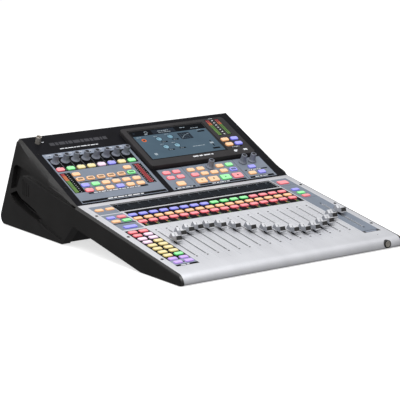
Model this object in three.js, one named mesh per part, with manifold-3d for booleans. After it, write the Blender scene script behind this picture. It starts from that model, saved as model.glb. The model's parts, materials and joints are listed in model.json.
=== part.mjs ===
// A compact digital mixing console: sixteen channel faders and a main fader on a silver sloped panel,
// a steeper black upper panel with rotary encoders and a touchscreen, and moulded cheeks either side.
// Millimetres. +X is the operator's right, +Y points away from the operator, +Z is up.
// The origin is the centre of the footprint, on the surface that the console stands on.

import * as THREE from "three";
import { mergeVertices } from "three/addons/utils/BufferGeometryUtils.js";
import Module from "manifold-3d";

const wasm = await Module();
wasm.setup();

// ---------------------------------------------------------------- driving dimensions

const GAP = 0.3; // clearance between pieces that touch
const SHEET = 2; // thickness of both top panels
const STEEL = 1.5; // thickness of the folded tray and the rear panel

const HALF_WIDTH = 220; // outside of the cheeks
const HALF_PANEL = 214; // edge of the top panels
const HALF_TRAY = 203.5; // edge of the tray, between the cheeks
const CHEEK_INNER_X = 204;

const FADER_SLOPE = THREE.MathUtils.degToRad(10.2);
const UPPER_SLOPE = THREE.MathUtils.degToRad(25.3);
const FADER_PANEL_LENGTH = 304.2; // along the slope, from the crease to the start of the nose
const NOSE_RADIUS = 16;
const CHEEK_LEAD = 1.5; // how far the cheeks stand in front of the nose
const UPPER_LENGTH = 209.3; // along the slope, from the crease to the rear edge
const TOP_CORNER_RADIUS = 5;
const REAR_CORNER_RADIUS = 12.5;
const BODY_LIFT = 1.5; // underside of the cheeks above the rubber feet's soles
const CREASE_HEIGHT = 71.5 + BODY_LIFT;

const CHANNELS = 16;
const PITCH = 20.2; // channel to channel
const FIRST_CHANNEL_X = -149;
const MAIN_FADER_X = 184;

const FADER_TRAVEL = 100;
const SLOT_CENTRE = 197.4; // distance down the slope from the crease
const SLOT_WIDTH = 2.8;
// Where each fader cap rests, as a distance down the slope from the crease.
const FADER_REST = [195, 178, 170, 166, 168, 173, 185, 200, 215, 224, 235, 239, 239, 231, 223, 206];
const MAIN_FADER_REST = 191;

const KEY_HEIGHT = 1.6; // how far a key stands above its panel
const KEY_CLEARANCE = 0.4; // gap round a key in its hole
const KEY = [15, 9]; // the usual key cap: width across, depth up the slope
const WIDE_KEY = [24, 10];
const LARGE_KEY = [20, 13.5];
const WEB_TOP = -(SHEET + GAP + 0.2); // top of the rubber web that joins a group of keys
const WEB_THICKNESS = 1.2;
const WEB_MARGIN = 1.5;

const BEZEL_HEIGHT = 8;
const BEZEL = { x: [-30, 190], y: [67.5, 185], corner: 7 };
const SCREEN = { x: [-16.6, 137.4], y: [87.6, 173.5] };

// ---------------------------------------------------------------- where the slopes lie

const { sin, cos, tan, PI } = Math;

// Reach of the cheeks in front of the crease and of the rear bottom corner behind it.
const FRONT_REACH =
  FADER_PANEL_LENGTH * cos(FADER_SLOPE) + NOSE_RADIUS * (1 - sin(FADER_SLOPE)) + CHEEK_LEAD;
const REAR_EDGE_FOOT =
  UPPER_LENGTH * cos(UPPER_SLOPE) +
  (CREASE_HEIGHT - BODY_LIFT + UPPER_LENGTH * sin(UPPER_SLOPE)) * tan(UPPER_SLOPE);
const REAR_CORNER_TANGENT = REAR_CORNER_RADIUS / tan((PI / 2 - UPPER_SLOPE) / 2);
const BACK_REACH = REAR_EDGE_FOOT - REAR_CORNER_TANGENT + REAR_CORNER_RADIUS;
const CREASE_Y = (FRONT_REACH - BACK_REACH) / 2;
const FRONT_Y = CREASE_Y - FRONT_REACH;

// A point of a sloped panel, given by its distance up the slope and its height over the panel,
// as [y, z] of the console.
const onSlope = (angle, up, height) => [
  CREASE_Y + up * cos(angle) - height * sin(angle),
  CREASE_HEIGHT + up * sin(angle) + height * cos(angle),
];
const onFaderPanel = (up, height) => onSlope(FADER_SLOPE, up, height);
const onUpperPanel = (up, height) => onSlope(UPPER_SLOPE, up, height);

// The same the other way: a [y, z] of the console as a panel's [up, height].
function fromConsole(angle, [y, z]) {
  const dy = y - CREASE_Y;
  const dz = z - CREASE_HEIGHT;
  return [dy * cos(angle) + dz * sin(angle), dz * cos(angle) - dy * sin(angle)];
}
const toFaderPanel = (point) => fromConsole(FADER_SLOPE, point);
const toUpperPanel = (point) => fromConsole(UPPER_SLOPE, point);

const channelX = (channel) => FIRST_CHANNEL_X + PITCH * channel;

// ---------------------------------------------------------------- shape helpers

const AXIS_X = new THREE.Vector3(1, 0, 0);
const AXIS_Y = new THREE.Vector3(0, 1, 0);
const AXIS_Z = new THREE.Vector3(0, 0, 1);

function toSolid(geometry) {
  const bare = geometry.clone();
  bare.deleteAttribute("normal");
  bare.deleteAttribute("uv");
  const merged = mergeVertices(bare, 1e-4);
  const vertProperties = new Float32Array(merged.attributes.position.array);
  const triVerts = new Uint32Array(merged.index.array);
  return new wasm.Manifold(new wasm.Mesh({ numProp: 3, vertProperties, triVerts }));
}

function toGeometry(solid) {
  const mesh = solid.getMesh();
  const geometry = new THREE.BufferGeometry();
  geometry.setAttribute("position", new THREE.BufferAttribute(mesh.vertProperties, 3));
  geometry.setIndex(new THREE.BufferAttribute(mesh.triVerts, 1));
  const flat = geometry.toNonIndexed();
  flat.computeVertexNormals();
  return flat;
}

const widened = ([low, high], margin) => [low - margin, high + margin];
const joined = (solids) => solids.reduce((whole, solid) => whole.add(solid));
const cut = (solid, tools) => solid.subtract(joined(tools));

function block([x0, x1], [y0, y1], [z0, z1]) {
  const box = new THREE.BoxGeometry(x1 - x0, y1 - y0, z1 - z0);
  return toSolid(box.translate((x0 + x1) / 2, (y0 + y1) / 2, (z0 + z1) / 2));
}

const blockAt = (x, y, width, depth, [z0, z1]) =>
  block([x - width / 2, x + width / 2], [y - depth / 2, y + depth / 2], [z0, z1]);

const outlineOf = (points) => new THREE.Shape(points.map(([x, y]) => new THREE.Vector2(x, y)));

// An outline in x and y, raised from z0 to z1.
function raised(points, [z0, z1]) {
  const geometry = new THREE.ExtrudeGeometry(outlineOf(points), { depth: z1 - z0, bevelEnabled: false });
  return toSolid(geometry.translate(0, 0, z0));
}

// An outline in y and z, drawn out from x0 to x1.
function drawnAcross(points, [x0, x1]) {
  const geometry = new THREE.ExtrudeGeometry(outlineOf(points), { depth: x1 - x0, bevelEnabled: false });
  geometry.applyMatrix4(new THREE.Matrix4().makeBasis(AXIS_Y, AXIS_Z, AXIS_X));
  return toSolid(geometry.translate(x0, 0, 0));
}

// A profile of [radius, z] turned about the Z axis; it runs from the bottom of the axis to its top.
function turned(profile, sides) {
  const points = profile.map(([radius, z]) => new THREE.Vector2(radius, z));
  return toSolid(new THREE.LatheGeometry(points, sides).rotateX(PI / 2));
}

const rod = (radius, [z0, z1], sides) =>
  turned([[0, z0], [radius, z0], [radius, z1], [0, z1]], sides);

// Turns a solid made along Z so that it points along -Y, and puts its origin at the place given.
function facingFront(solid, [x, y, z]) {
  return solid.rotate([90, 0, 0]).translate([x, y, z]);
}

function arc([cx, cy], radius, fromDegrees, toDegrees, steps) {
  return Array.from({ length: steps + 1 }, (_, step) => {
    const angle = THREE.MathUtils.degToRad(fromDegrees + ((toDegrees - fromDegrees) * step) / steps);
    return [cx + radius * cos(angle), cy + radius * sin(angle)];
  });
}

function roundedOutline([x0, x1], [y0, y1], radius, steps) {
  return [
    ...arc([x1 - radius, y0 + radius], radius, -90, 0, steps),
    ...arc([x1 - radius, y1 - radius], radius, 0, 90, steps),
    ...arc([x0 + radius, y1 - radius], radius, 90, 180, steps),
    ...arc([x0 + radius, y0 + radius], radius, 180, 270, steps),
  ];
}

// The outline of a folded sheet: a path and the same path moved to its left by the thickness.
function folded(path, thickness) {
  const directions = path.slice(1).map(([y, z], i) => {
    const run = new THREE.Vector2(y - path[i][0], z - path[i][1]);
    return run.normalize();
  });
  const moved = path.map(([y, z], i) => {
    const before = directions[Math.max(i - 1, 0)];
    const after = directions[Math.min(i, directions.length - 1)];
    const normal = new THREE.Vector2(-before.y - after.y, before.x + after.x).normalize();
    const reach = thickness / (normal.x * -after.y + normal.y * after.x);
    return [y + normal.x * reach, z + normal.y * reach];
  });
  return [...path, ...moved.reverse()];
}

// ---------------------------------------------------------------- materials

const material = (color, roughness, metalness) =>
  new THREE.MeshStandardMaterial({ color, roughness, metalness });

const FINISH = {
  silver: () => material(0xd3d4d8, 0.42, 0.6),
  blackPanel: () => material(0x212126, 0.5, 0.3),
  bezel: () => material(0x3e3c3e, 0.55, 0),
  cheek: () => material(0x1e1e20, 0.6, 0),
  steel: () => material(0x1b1b1d, 0.55, 0.4),
  glass: () => material(0x141c24, 0.08, 0),
  rubber: () => material(0x111111, 0.9, 0),
  board: () => material(0x17442e, 0.6, 0.1),
  zinc: () => material(0x9a9a9c, 0.35, 0.9),
  socket: () => material(0x141414, 0.4, 0.1),
  knob: () => material(0x4a5058, 0.55, 0),
  faderCap: () => material(0xc9cacc, 0.35, 0.3),
  clearKey: () => material(0xe6e0dc, 0.5, 0),
};

const root = new THREE.Group();
const faderDeck = new THREE.Group();
const upperDeck = new THREE.Group();
for (const [deck, slope] of [[faderDeck, FADER_SLOPE], [upperDeck, UPPER_SLOPE]]) {
  deck.position.set(0, CREASE_Y, CREASE_HEIGHT);
  deck.rotation.x = slope;
  root.add(deck);
}

function place(parent, name, solid, finish, [x, y, z] = [0, 0, 0]) {
  const mesh = new THREE.Mesh(toGeometry(solid), finish());
  mesh.name = name;
  mesh.position.set(x, y, z);
  parent.add(mesh);
}

// ---------------------------------------------------------------- where the keys and knobs are

// A key is [x, y, width, depth] in its deck: x across, y up the slope from the crease.
const row = (count, x, pitch, y, size = KEY) =>
  Array.from({ length: count }, (_, i) => [x + pitch * i, y, ...size]);
const rows = (count, y, pitch, make) => Array.from({ length: count }, (_, i) => make(y + pitch * i));

const LEFT_COLUMNS_X = -190.9;
const RIGHT_COLUMN_X = 183.2;
const STRIP_Y = -31; // the keys beside the channel displays
const SELECT_Y = -67.4;
const SOLO_Y = -84;
const MUTE_Y = -98.4;
const LEFT_PITCH_Y = 14.65;
const LEFT_BLOCK_Y = -134.6;
const LEFT_BLOCK_ROWS = 10;

const leftPair = (y) => row(2, LEFT_COLUMNS_X, PITCH, y);
const rightOne = (y) => row(1, RIGHT_COLUMN_X, PITCH, y);

// Each group is a list of rows; a strip of web ties the start of each row to the start of the next.
const FADER_DECK_KEYS = {
  select_keys: [row(CHANNELS, FIRST_CHANNEL_X, PITCH, SELECT_Y)],
  solo_keys: [row(CHANNELS, FIRST_CHANNEL_X, PITCH, SOLO_Y)],
  mute_keys: [row(CHANNELS, FIRST_CHANNEL_X, PITCH, MUTE_Y)],
  layer_keys: [
    ...[STRIP_Y, SELECT_Y, SOLO_Y].map(leftPair),
    row(1, LEFT_COLUMNS_X + PITCH / 2, PITCH, -111.3, WIDE_KEY),
    ...rows(LEFT_BLOCK_ROWS, LEFT_BLOCK_Y, -LEFT_PITCH_Y, leftPair),
  ],
  main_keys: [
    row(1, RIGHT_COLUMN_X, PITCH, STRIP_Y, LARGE_KEY),
    ...[SELECT_Y, SOLO_Y, MUTE_Y].map(rightOne),
  ],
};

const ENCODERS = 8;
const ENCODER_X = -190.5;
const ENCODER_Y = 124.2;
const PROCESSING_X = ENCODER_X + PITCH;
const SESSION_X = 42.2;
const MONITOR_X = 153;

const UPPER_DECK_KEYS = {
  parameter_keys: [row(ENCODERS, ENCODER_X, PITCH, 103.2)],
  processing_keys: [
    row(2, PROCESSING_X, PITCH * 5, 84.6),
    ...[69.6, 51.9, 37.2].map((y) => row(6, PROCESSING_X, PITCH, y)),
  ],
  session_keys: [
    row(1, 2.2, PITCH, 18.9, [17, 11.5]),
    row(2, -7.6, PITCH, 38),
    row(2, -7.6, PITCH, 53.2),
    row(2, SESSION_X, PITCH, 52.4),
    row(5, SESSION_X, PITCH, 37.3),
    row(2, SESSION_X + 3 * PITCH, PITCH, 52.4),
  ],
  transport_keys: [row(4, 44.6, 25.3, 19, LARGE_KEY)],
  monitor_keys: [row(2, MONITOR_X, PITCH, 19.8), row(1, MONITOR_X + PITCH / 2, PITCH, 37.8)],
};
const SCREEN_KEYS = [100, 115.4].map((y) => row(2, 152.3, PITCH, y));

const KNOBS = {
  ...Object.fromEntries(
    Array.from({ length: ENCODERS }, (_, i) => [`encoder_${i + 1}`, [ENCODER_X + PITCH * i, ENCODER_Y]]),
  ),
  session_encoder: [SESSION_X + 2 * PITCH, 52.4],
  monitor_level_knob: [MONITOR_X, 53.2],
  phones_level_knob: [MONITOR_X + PITCH, 53.2],
};

// ---------------------------------------------------------------- keys, knobs and faders

const THROUGH = [-SHEET - 1, 1];

const keyHoles = (group, top = 1) =>
  group.flat().map(([x, y, width, depth]) =>
    blockAt(x, y, width + 2 * KEY_CLEARANCE, depth + 2 * KEY_CLEARANCE, [-SHEET - 1, top]));

// A group of keys is one rubber moulding: key caps on a thin web that lies under the panel.
function keypad(group, top) {
  const webZ = [WEB_TOP - WEB_THICKNESS, WEB_TOP];
  const caps = group.flat().map(([x, y, width, depth]) =>
    blockAt(x, y, width, depth, [WEB_TOP - WEB_THICKNESS / 2, top]));
  const webs = group.map((keys) => rowWeb(keys, webZ));
  const ties = group.slice(1).map(([next], i) => tie(group[i][0], next, webZ));
  return joined([...webs, ...ties, ...caps]);
}

function rowWeb(keys, webZ) {
  const [firstX, y, width, depth] = keys[0];
  const lastX = keys[keys.length - 1][0];
  const across = widened([firstX, lastX], width / 2 + WEB_MARGIN);
  return block(across, widened([y, y], depth / 2 + WEB_MARGIN), webZ);
}

// A strip of web from one place to the next one: across first, then along the slope.
const TIE_WIDTH = 5;
function tie([xa, ya], [xb, yb], webZ) {
  const span = (a, b) => widened([Math.min(a, b), Math.max(a, b)], TIE_WIDTH / 2);
  const along = block(span(xb, xb), span(ya, yb), webZ);
  return xa === xb ? along : along.add(block(span(xa, xb), span(ya, ya), webZ));
}

const KNOB_HEIGHT = 16;
const KNOB_HOLE_RADIUS = 4.4;

// A knob with a flared skirt, a straight grip and its shaft.
function knob() {
  return turned(
    [[0, -9], [3, -9], [3, 0.6], [7.6, 0.6], [7.6, 2.2], [5.4, 5], [5, KNOB_HEIGHT], [0, KNOB_HEIGHT]],
    10,
  );
}

const CAP = { width: 11.4, length: 22, base: 5, shoulder: 7.2, top: 14.2, waist: 10.6 };
const LEVER = { width: 1.2, length: 7, foot: -11 };

// A fader: a cap scooped for the fingertip on a flat lever that passes down through the slot.
function fader() {
  const half = CAP.length / 2;
  const profile = [
    [-half, CAP.base],
    [half, CAP.base],
    [half, CAP.shoulder],
    [half - 3, CAP.top],
    [half - 5.5, CAP.top],
    [0, CAP.waist],
    [-half + 5.5, CAP.top],
    [-half + 3, CAP.top],
    [-half, CAP.shoulder],
  ];
  const cap = drawnAcross(profile, [-CAP.width / 2, CAP.width / 2]);
  return cap.add(blockAt(0, 0, LEVER.width, LEVER.length, [LEVER.foot, CAP.base + 1]));
}

function addKeypads(deck, groups) {
  for (const [name, keys] of Object.entries(groups)) {
    place(deck, name, keypad(keys, KEY_HEIGHT), FINISH.clearKey);
  }
}

function addKnobs() {
  for (const [name, [x, y]] of Object.entries(KNOBS)) {
    place(upperDeck, name, knob(), FINISH.knob, [x, y, 0]);
  }
}

function addFaders() {
  FADER_REST.forEach((rest, channel) =>
    place(faderDeck, `fader_${channel + 1}`, fader(), FINISH.faderCap, [channelX(channel), -rest, 0]));
  place(faderDeck, "main_fader", fader(), FINISH.faderCap, [MAIN_FADER_X, -MAIN_FADER_REST, 0]);
}

// ---------------------------------------------------------------- top panels

const SLOT_XS = [...Array.from({ length: CHANNELS }, (_, i) => channelX(i)), MAIN_FADER_X];
const SLOT_LENGTH = FADER_TRAVEL + 9;
const STRIP_WINDOW = { x: [-158.5, 163.5], y: [-44, -16] };

// The headphone jack's barrel goes straight back through the nose.
const JACK = { x: 185, z: 8 + BODY_LIFT, barrel: 6.5, hole: 3.3, length: 24, depth: 20 };

const rodToFront = (radius, length, y) =>
  facingFront(rod(radius, [-length, 0], 16), [JACK.x, y, JACK.z]);

// Outer line of the fader panel from its front lip, round the nose and up the slope to the crease.
function faderPanelPath() {
  const centre = [-FADER_PANEL_LENGTH, -NOSE_RADIUS];
  const front = 180 - THREE.MathUtils.radToDeg(FADER_SLOPE);
  const lipZ = BODY_LIFT + 0.3;
  const frontY = FRONT_Y + CHEEK_LEAD;
  return [
    toFaderPanel([frontY + 7, lipZ]),
    toFaderPanel([frontY + 0.6, lipZ]),
    ...arc(centre, NOSE_RADIUS, front, 90, 6),
    [-GAP, 0],
  ];
}

function faderPanel() {
  const outline = folded(faderPanelPath().reverse(), SHEET);
  const sheet = drawnAcross(outline, [-HALF_PANEL, HALF_PANEL]);
  const slots = SLOT_XS.map((x) => blockAt(x, -SLOT_CENTRE, SLOT_WIDTH, SLOT_LENGTH, THROUGH));
  const keys = Object.values(FADER_DECK_KEYS).flatMap((group) => keyHoles(group));
  const strip = block(STRIP_WINDOW.x, STRIP_WINDOW.y, THROUGH);
  const [jackY, jackZ] = toFaderPanel([FRONT_Y, JACK.z]);
  const jack = rod(JACK.barrel + GAP, [-30, 30], 16)
    .rotate([90 - THREE.MathUtils.radToDeg(FADER_SLOPE), 0, 0])
    .translate([JACK.x, jackY, jackZ]);
  return cut(sheet, [...slots, ...keys, strip, jack]);
}

const REAR_FLANGE = 12; // how far the upper panel turns down at the rear
const LAMP = { x: -190.7, y: 186.4, radius: 4.85, height: 13 };

function upperPanelPath() {
  const rear = UPPER_LENGTH - 0.8;
  const centre = [rear - TOP_CORNER_RADIUS, -TOP_CORNER_RADIUS];
  return [[GAP, 0], ...arc(centre, TOP_CORNER_RADIUS, 90, 0, 5), [rear, -REAR_FLANGE]];
}

function upperPanel() {
  const outline = folded(upperPanelPath(), -SHEET).reverse();
  const sheet = drawnAcross(outline, [-HALF_PANEL, HALF_PANEL]);
  const keys = [...Object.values(UPPER_DECK_KEYS), SCREEN_KEYS].flatMap((group) => keyHoles(group));
  const shafts = Object.values(KNOBS).map(([x, y]) =>
    rod(KNOB_HOLE_RADIUS, THROUGH, 8).translate([x, y, 0]));
  const screen = block(widened(SCREEN.x, 1), widened(SCREEN.y, 1), THROUGH);
  const lamp = rod(LAMP.radius + GAP, THROUGH, 12).translate([LAMP.x, LAMP.y, 0]);
  return cut(sheet, [...keys, ...shafts, screen, lamp]);
}

// ---------------------------------------------------------------- screen module and displays

function screenBezel() {
  const plate = raised(roundedOutline(BEZEL.x, BEZEL.y, BEZEL.corner, 4), [GAP, BEZEL_HEIGHT]);
  const window = block(widened(SCREEN.x, 0.4), widened(SCREEN.y, 0.4), [-1, BEZEL_HEIGHT + 1]);
  return cut(plate, [window, ...keyHoles(SCREEN_KEYS, BEZEL_HEIGHT + 1)]);
}

function lampSocket() {
  const { radius, height } = LAMP;
  const flange = 6.4;
  const bore = 3.9;
  const underPanel = -SHEET - GAP;
  return turned(
    [
      [0, -8],
      [flange, -8],
      [flange, underPanel],
      [radius, underPanel],
      [radius, height],
      [bore, height],
      [bore, 4],
      [0, 4],
    ],
    12,
  );
}

function headphoneJack() {
  const barrel = rodToFront(JACK.barrel, JACK.length, FRONT_Y + 0.4);
  const body = block([JACK.x - 7, JACK.x + 7], [FRONT_Y + 20, FRONT_Y + 38], [JACK.z - 5, JACK.z + 7]);
  const bore = rodToFront(JACK.hole, JACK.depth, FRONT_Y);
  return cut(barrel.add(body), [bore]);
}

// ---------------------------------------------------------------- cheeks

const NOTCH_RISE = 37; // height of the notch in the underside, above the cheek's feet
const SLAB_START_Y = CREASE_Y - 199; // where the underside leaves the flat front
const NOTCH_Y = CREASE_Y + 6;
const FOOT_Y = CREASE_Y + 44.7;

// The underside, from the front to the start of the rear bottom corner.
const UNDERSIDE = [
  [SLAB_START_Y, BODY_LIFT],
  [NOTCH_Y, BODY_LIFT + NOTCH_RISE],
  [FOOT_Y, BODY_LIFT],
];

// Offsets from the crease as [y, z] of the console.
const nearCrease = (points) => points.map(([dy, dz]) => [CREASE_Y + dy, CREASE_HEIGHT + dz]);

function rearCorner() {
  const centreY = CREASE_Y + REAR_EDGE_FOOT - REAR_CORNER_TANGENT;
  const end = THREE.MathUtils.radToDeg(UPPER_SLOPE);
  return arc([centreY, BODY_LIFT + REAR_CORNER_RADIUS], REAR_CORNER_RADIUS, -90, end, 5);
}

// The nose of a cheek: round the top panel's nose, a little in front of it.
function cheekNose(inset) {
  const [y, z] = onFaderPanel(-FADER_PANEL_LENGTH - CHEEK_LEAD, -NOSE_RADIUS);
  return arc([y, z], NOSE_RADIUS - inset, 90 + THREE.MathUtils.radToDeg(FADER_SLOPE), 180, 6);
}

const FACET_STATIONS = [156.5, 96, 41.5, 15]; // distances up the slope

// Cheek outline with its top edge on the panels' surface.
function outlineAtPanel() {
  const centre = [UPPER_LENGTH - TOP_CORNER_RADIUS, -TOP_CORNER_RADIUS];
  const corner = arc(centre, TOP_CORNER_RADIUS, 0, 90, 4).map(([up, height]) => onUpperPanel(up, height));
  return [
    ...UNDERSIDE,
    ...rearCorner(),
    ...corner,
    ...FACET_STATIONS.map((up) => onUpperPanel(up, 0)),
    onFaderPanel(0, 0),
    ...cheekNose(0),
    [FRONT_Y + 2.5, BODY_LIFT],
  ];
}

// Cheek outline on its outer face: the top edge falls away in a chamfer that widens into a facet.
// The facet's lower edge is given as offsets from the crease, from the rear to the front.
const CHAMFER = 5;
const FACET_EDGE = [
  [207, 46.4],
  [203, 45.6],
  [199, 44.8],
  [195, 44],
  [189, 43.2],
  [141.5, 33.9],
  [86.7, 23.1],
  [37.5, 11.8],
  [13.6, 4.2],
];

function outlineAtFace() {
  return [
    ...UNDERSIDE,
    ...rearCorner(),
    ...nearCrease(FACET_EDGE),
    onFaderPanel(1, 2 - CHAMFER),
    ...cheekNose(CHAMFER),
    [FRONT_Y + 6, BODY_LIFT],
  ];
}

// Outline near the outer face, where the facet's shoulder lies. Each point is a mix of the two
// outlines above: near the rear top corner the cheek is almost at its full width straight away.
const SHOULDER_X = 218.2;
const CORNER_SHARE = 0.12;
const STATION_SHARES = [0.45, 0.6, 0.68, 0.7];
const CREASE_SHARE = 0.74;
const NOSE_SHARE = 0.25;

function outlineAtShoulder() {
  const inner = outlineAtPanel();
  const outer = outlineAtFace();
  const cornerPoints = FACET_EDGE.length - FACET_STATIONS.length;
  const lowPoints = UNDERSIDE.length + rearCorner().length;
  const shares = [
    ...Array(lowPoints).fill(0),
    ...Array(cornerPoints).fill(CORNER_SHARE),
    ...STATION_SHARES,
    CREASE_SHARE,
  ];
  return inner.map(([y, z], i) => {
    const share = shares[i] ?? NOSE_SHARE;
    return [y + share * (outer[i][0] - y), z + share * (outer[i][1] - z)];
  });
}

// The outline of the thick inner part, which the panels rest on.
function outlineUnderPanels() {
  const drop = SHEET + GAP;
  const rear = UPPER_LENGTH - 4;
  const lipY = FRONT_Y + 12;
  return [
    ...UNDERSIDE,
    [CREASE_Y + REAR_EDGE_FOOT - 24, BODY_LIFT],
    onUpperPanel(rear, -164),
    onUpperPanel(rear, -12),
    onUpperPanel(rear - 9, -drop),
    onUpperPanel(0.4, -drop),
    onFaderPanel(-FADER_PANEL_LENGTH, -drop),
    [lipY, BODY_LIFT + 4],
    [lipY, BODY_LIFT],
  ];
}

// A solid between two outlines with the same number of points, one at x0 and one at x1.
function loft(first, second, [x0, x1]) {
  const ring = (outline, x) => outline.flatMap(([y, z]) => [x, y, z]);
  const count = first.length;
  const fill = (outline) =>
    THREE.ShapeUtils.triangulateShape(outline.map(([y, z]) => new THREE.Vector2(y, z)), []);
  const index = [];
  for (const [a, b, c] of fill(first)) index.push(a, c, b);
  for (const [a, b, c] of fill(second)) index.push(count + a, count + b, count + c);
  for (let i = 0; i < count; i += 1) {
    const next = (i + 1) % count;
    index.push(i, next, count + i, next, count + next, count + i);
  }
  const geometry = new THREE.BufferGeometry();
  const points = [...ring(first, x0), ...ring(second, x1)];
  geometry.setAttribute("position", new THREE.Float32BufferAttribute(points, 3));
  geometry.setIndex(index);
  return toSolid(geometry);
}

// Outlines of the cheek's recesses, as offsets from the crease: a band under the facet that turns
// down at the rear, the pocket at its front end, the hand recess and the hand recess's shallow tail.
const BAND = [
  [3, -4],
  [30, 0.3],
  [63, 5.3],
  [96, 11.3],
  [130, 17.9],
  [164, 24.1],
  [176, 24.5],
  [184, 20],
  [190, 11],
  [194, 2.4],
  [216.5, -3.8],
  [214.5, 4],
  [208.5, 20],
  [204, 34],
  [200.5, 38.5],
  [193, 42],
  [156, 35.8],
  [129, 30.5],
  [95, 24.2],
  [62, 16.4],
  [30, 9.4],
  [15, 4.6],
  [4, 0],
  [-2, -2.4],
];
const POCKET = [
  [20, -1.2],
  [24, 7.4],
  [15, 4.6],
  [4, 0],
  [-2, -2.4],
  [3, -4],
];
const HANDLE = [
  [122, -44.2],
  [132, -45],
  [169, -36.3],
  [200, -27.3],
  [213, -22.5],
  [218.5, -14.5],
  [217, -12],
  [196, -4.4],
  [190, -9.2],
  [179, -16],
  [160, -20.6],
  [133, -28.8],
  [114.6, -38.7],
];
const HANDLE_TAIL = [
  [45, -62.5],
  [52, -65.5],
  [76, -60.2],
  [100, -55],
  [130, -45],
  [114.6, -38.7],
  [85, -48.4],
  [66.6, -54.3],
];
const BAND_DEPTH = 8;
const POCKET_DEPTH = 13;
const HANDLE_DEPTH = 14;
const HANDLE_TAIL_DEPTH = 5;
const VENTS = { count: 4, pitch: 6.5, depth: 3, first: 153, foot: -9, top: 12, rise: 2.5 };

const recess = (points, depth) =>
  drawnAcross(nearCrease(points), [HALF_WIDTH - depth, HALF_WIDTH + 1]);

function ventSlots() {
  return Array.from({ length: VENTS.count }, (_, i) => {
    const dy = VENTS.first + VENTS.pitch * i;
    const top = VENTS.top + VENTS.rise * i;
    return recess([[dy, VENTS.foot], [dy + 2, VENTS.foot], [dy, top], [dy - 2, top]], VENTS.depth);
  });
}

function rightCheek() {
  const seam = HALF_PANEL + GAP;
  const shoulder = outlineAtShoulder();
  const skin = loft(outlineAtPanel(), shoulder, [seam, SHOULDER_X])
    .add(loft(shoulder, outlineAtFace(), [SHOULDER_X, HALF_WIDTH]));
  const inner = drawnAcross(outlineUnderPanels(), [CHEEK_INNER_X, seam + 0.5]);
  return cut(skin.add(inner), [
    recess(BAND, BAND_DEPTH),
    recess(POCKET, POCKET_DEPTH),
    recess(HANDLE, HANDLE_DEPTH),
    recess(HANDLE_TAIL, HANDLE_TAIL_DEPTH),
    ...ventSlots(),
  ]);
}

const mirrored = (solid) => solid.mirror([1, 0, 0]);

// ---------------------------------------------------------------- tray, rear panel and feet

function chassisTray() {
  const z = BODY_LIFT + 1.6;
  const path = [
    [FRONT_Y + 10, z], [SLAB_START_Y, z], [NOTCH_Y, z + NOTCH_RISE],
    [FOOT_Y + 1, z], [CREASE_Y + 232, z],
  ];
  const sheet = drawnAcross(folded(path, STEEL), [-HALF_TRAY, HALF_TRAY]);
  return cut(sheet, [rodToFront(JACK.barrel + GAP, 60, FRONT_Y), jackBodyRoom()]);
}

const jackBodyRoom = () =>
  block([JACK.x - 8, JACK.x + 8], [FRONT_Y + 1, FRONT_Y + 39], [JACK.z - 8, JACK.z - 4]);

const REAR_FACE = UPPER_LENGTH - 1.8; // outer face of the rear panel, along the upper slope
const REAR_FOLD = -161; // where the rear panel turns under

// The units that fill the rear panel's windows, flush with it: where they are and how deep they go.
const INPUTS = { x: [-195, 45], z: [-91, -27], depth: 18 };
const OUTPUTS = { x: [53, 143], z: [-91, -27], depth: 18 };
const PORTS = { x: [-165, -109], z: [-143, -121], depth: 18 };
const POWER = { x: [110, 178], z: [-146, -118], depth: 24 };

// Their hollows.
const SOCKET_ROWS = { z: [-42, -76], height: 21, depth: 13, endWall: 4.5 };
const PORT_MOUTH = { x: [-150, -124], z: -132, width: 14, height: 13, depth: 13 };
const INLET = { x: 128, z: -132, width: 25, height: 17, depth: 20 };
const ROCKER = { x: 163, z: -132, width: 14, height: 17.2, bay: 10, tilt: 7 };

// A block in the rear panel that reaches inwards from the panel's outer face.
const unitBlock = ({ x, z, depth }) => block(x, [REAR_FACE - depth, REAR_FACE], z);

// A hollow in such a block, open to the rear.
const hollow = (x, width, z, height, depth) =>
  block(widened([x, x], width / 2), [REAR_FACE - depth, REAR_FACE + 1], widened([z, z], height / 2));

function rearPanel() {
  const [bottomY, bottomZ] = onUpperPanel(REAR_FACE, REAR_FOLD);
  const z = BODY_LIFT + 1.6;
  const path = [
    [CREASE_Y + 233, z], [bottomY - 13, z], [bottomY, bottomZ], onUpperPanel(REAR_FACE, -REAR_FLANGE - GAP),
  ].map(toUpperPanel);
  const sheet = drawnAcross(folded(path, STEEL), [-HALF_TRAY, HALF_TRAY]);
  const windows = [INPUTS, OUTPUTS, PORTS, POWER].map((unit) =>
    block(widened(unit.x, GAP), [REAR_FACE - 9, REAR_FACE + 9], widened(unit.z, GAP)));
  return cut(sheet, windows);
}

// A moulded block that holds two rows of round connectors, each row in one long recess.
function socketBlock(unit) {
  const [x0, x1] = unit.x;
  const { z, height, depth, endWall } = SOCKET_ROWS;
  const recesses = z.map((middle) => hollow((x0 + x1) / 2, x1 - x0 - 2 * endWall, middle, height, depth));
  return cut(unitBlock(unit), recesses);
}

function digitalPorts() {
  const { x, z, width, height, depth } = PORT_MOUTH;
  return cut(unitBlock(PORTS), x.map((middle) => hollow(middle, width, z, height, depth)));
}

// The mains module: an inlet with its earth pin, and the bay of the rocker switch.
function powerInlet() {
  const { x, z, width, height, depth } = INLET;
  const mouth = hollow(x, width, z, height, depth);
  const bay = hollow(ROCKER.x, ROCKER.width + 1, ROCKER.z, ROCKER.height + 2.6, ROCKER.bay);
  const earth = block(widened([x, x], 1), [REAR_FACE - depth - 1, REAR_FACE - 5], [z, z + 4]);
  return cut(unitBlock(POWER), [mouth, bay]).add(earth);
}

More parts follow.
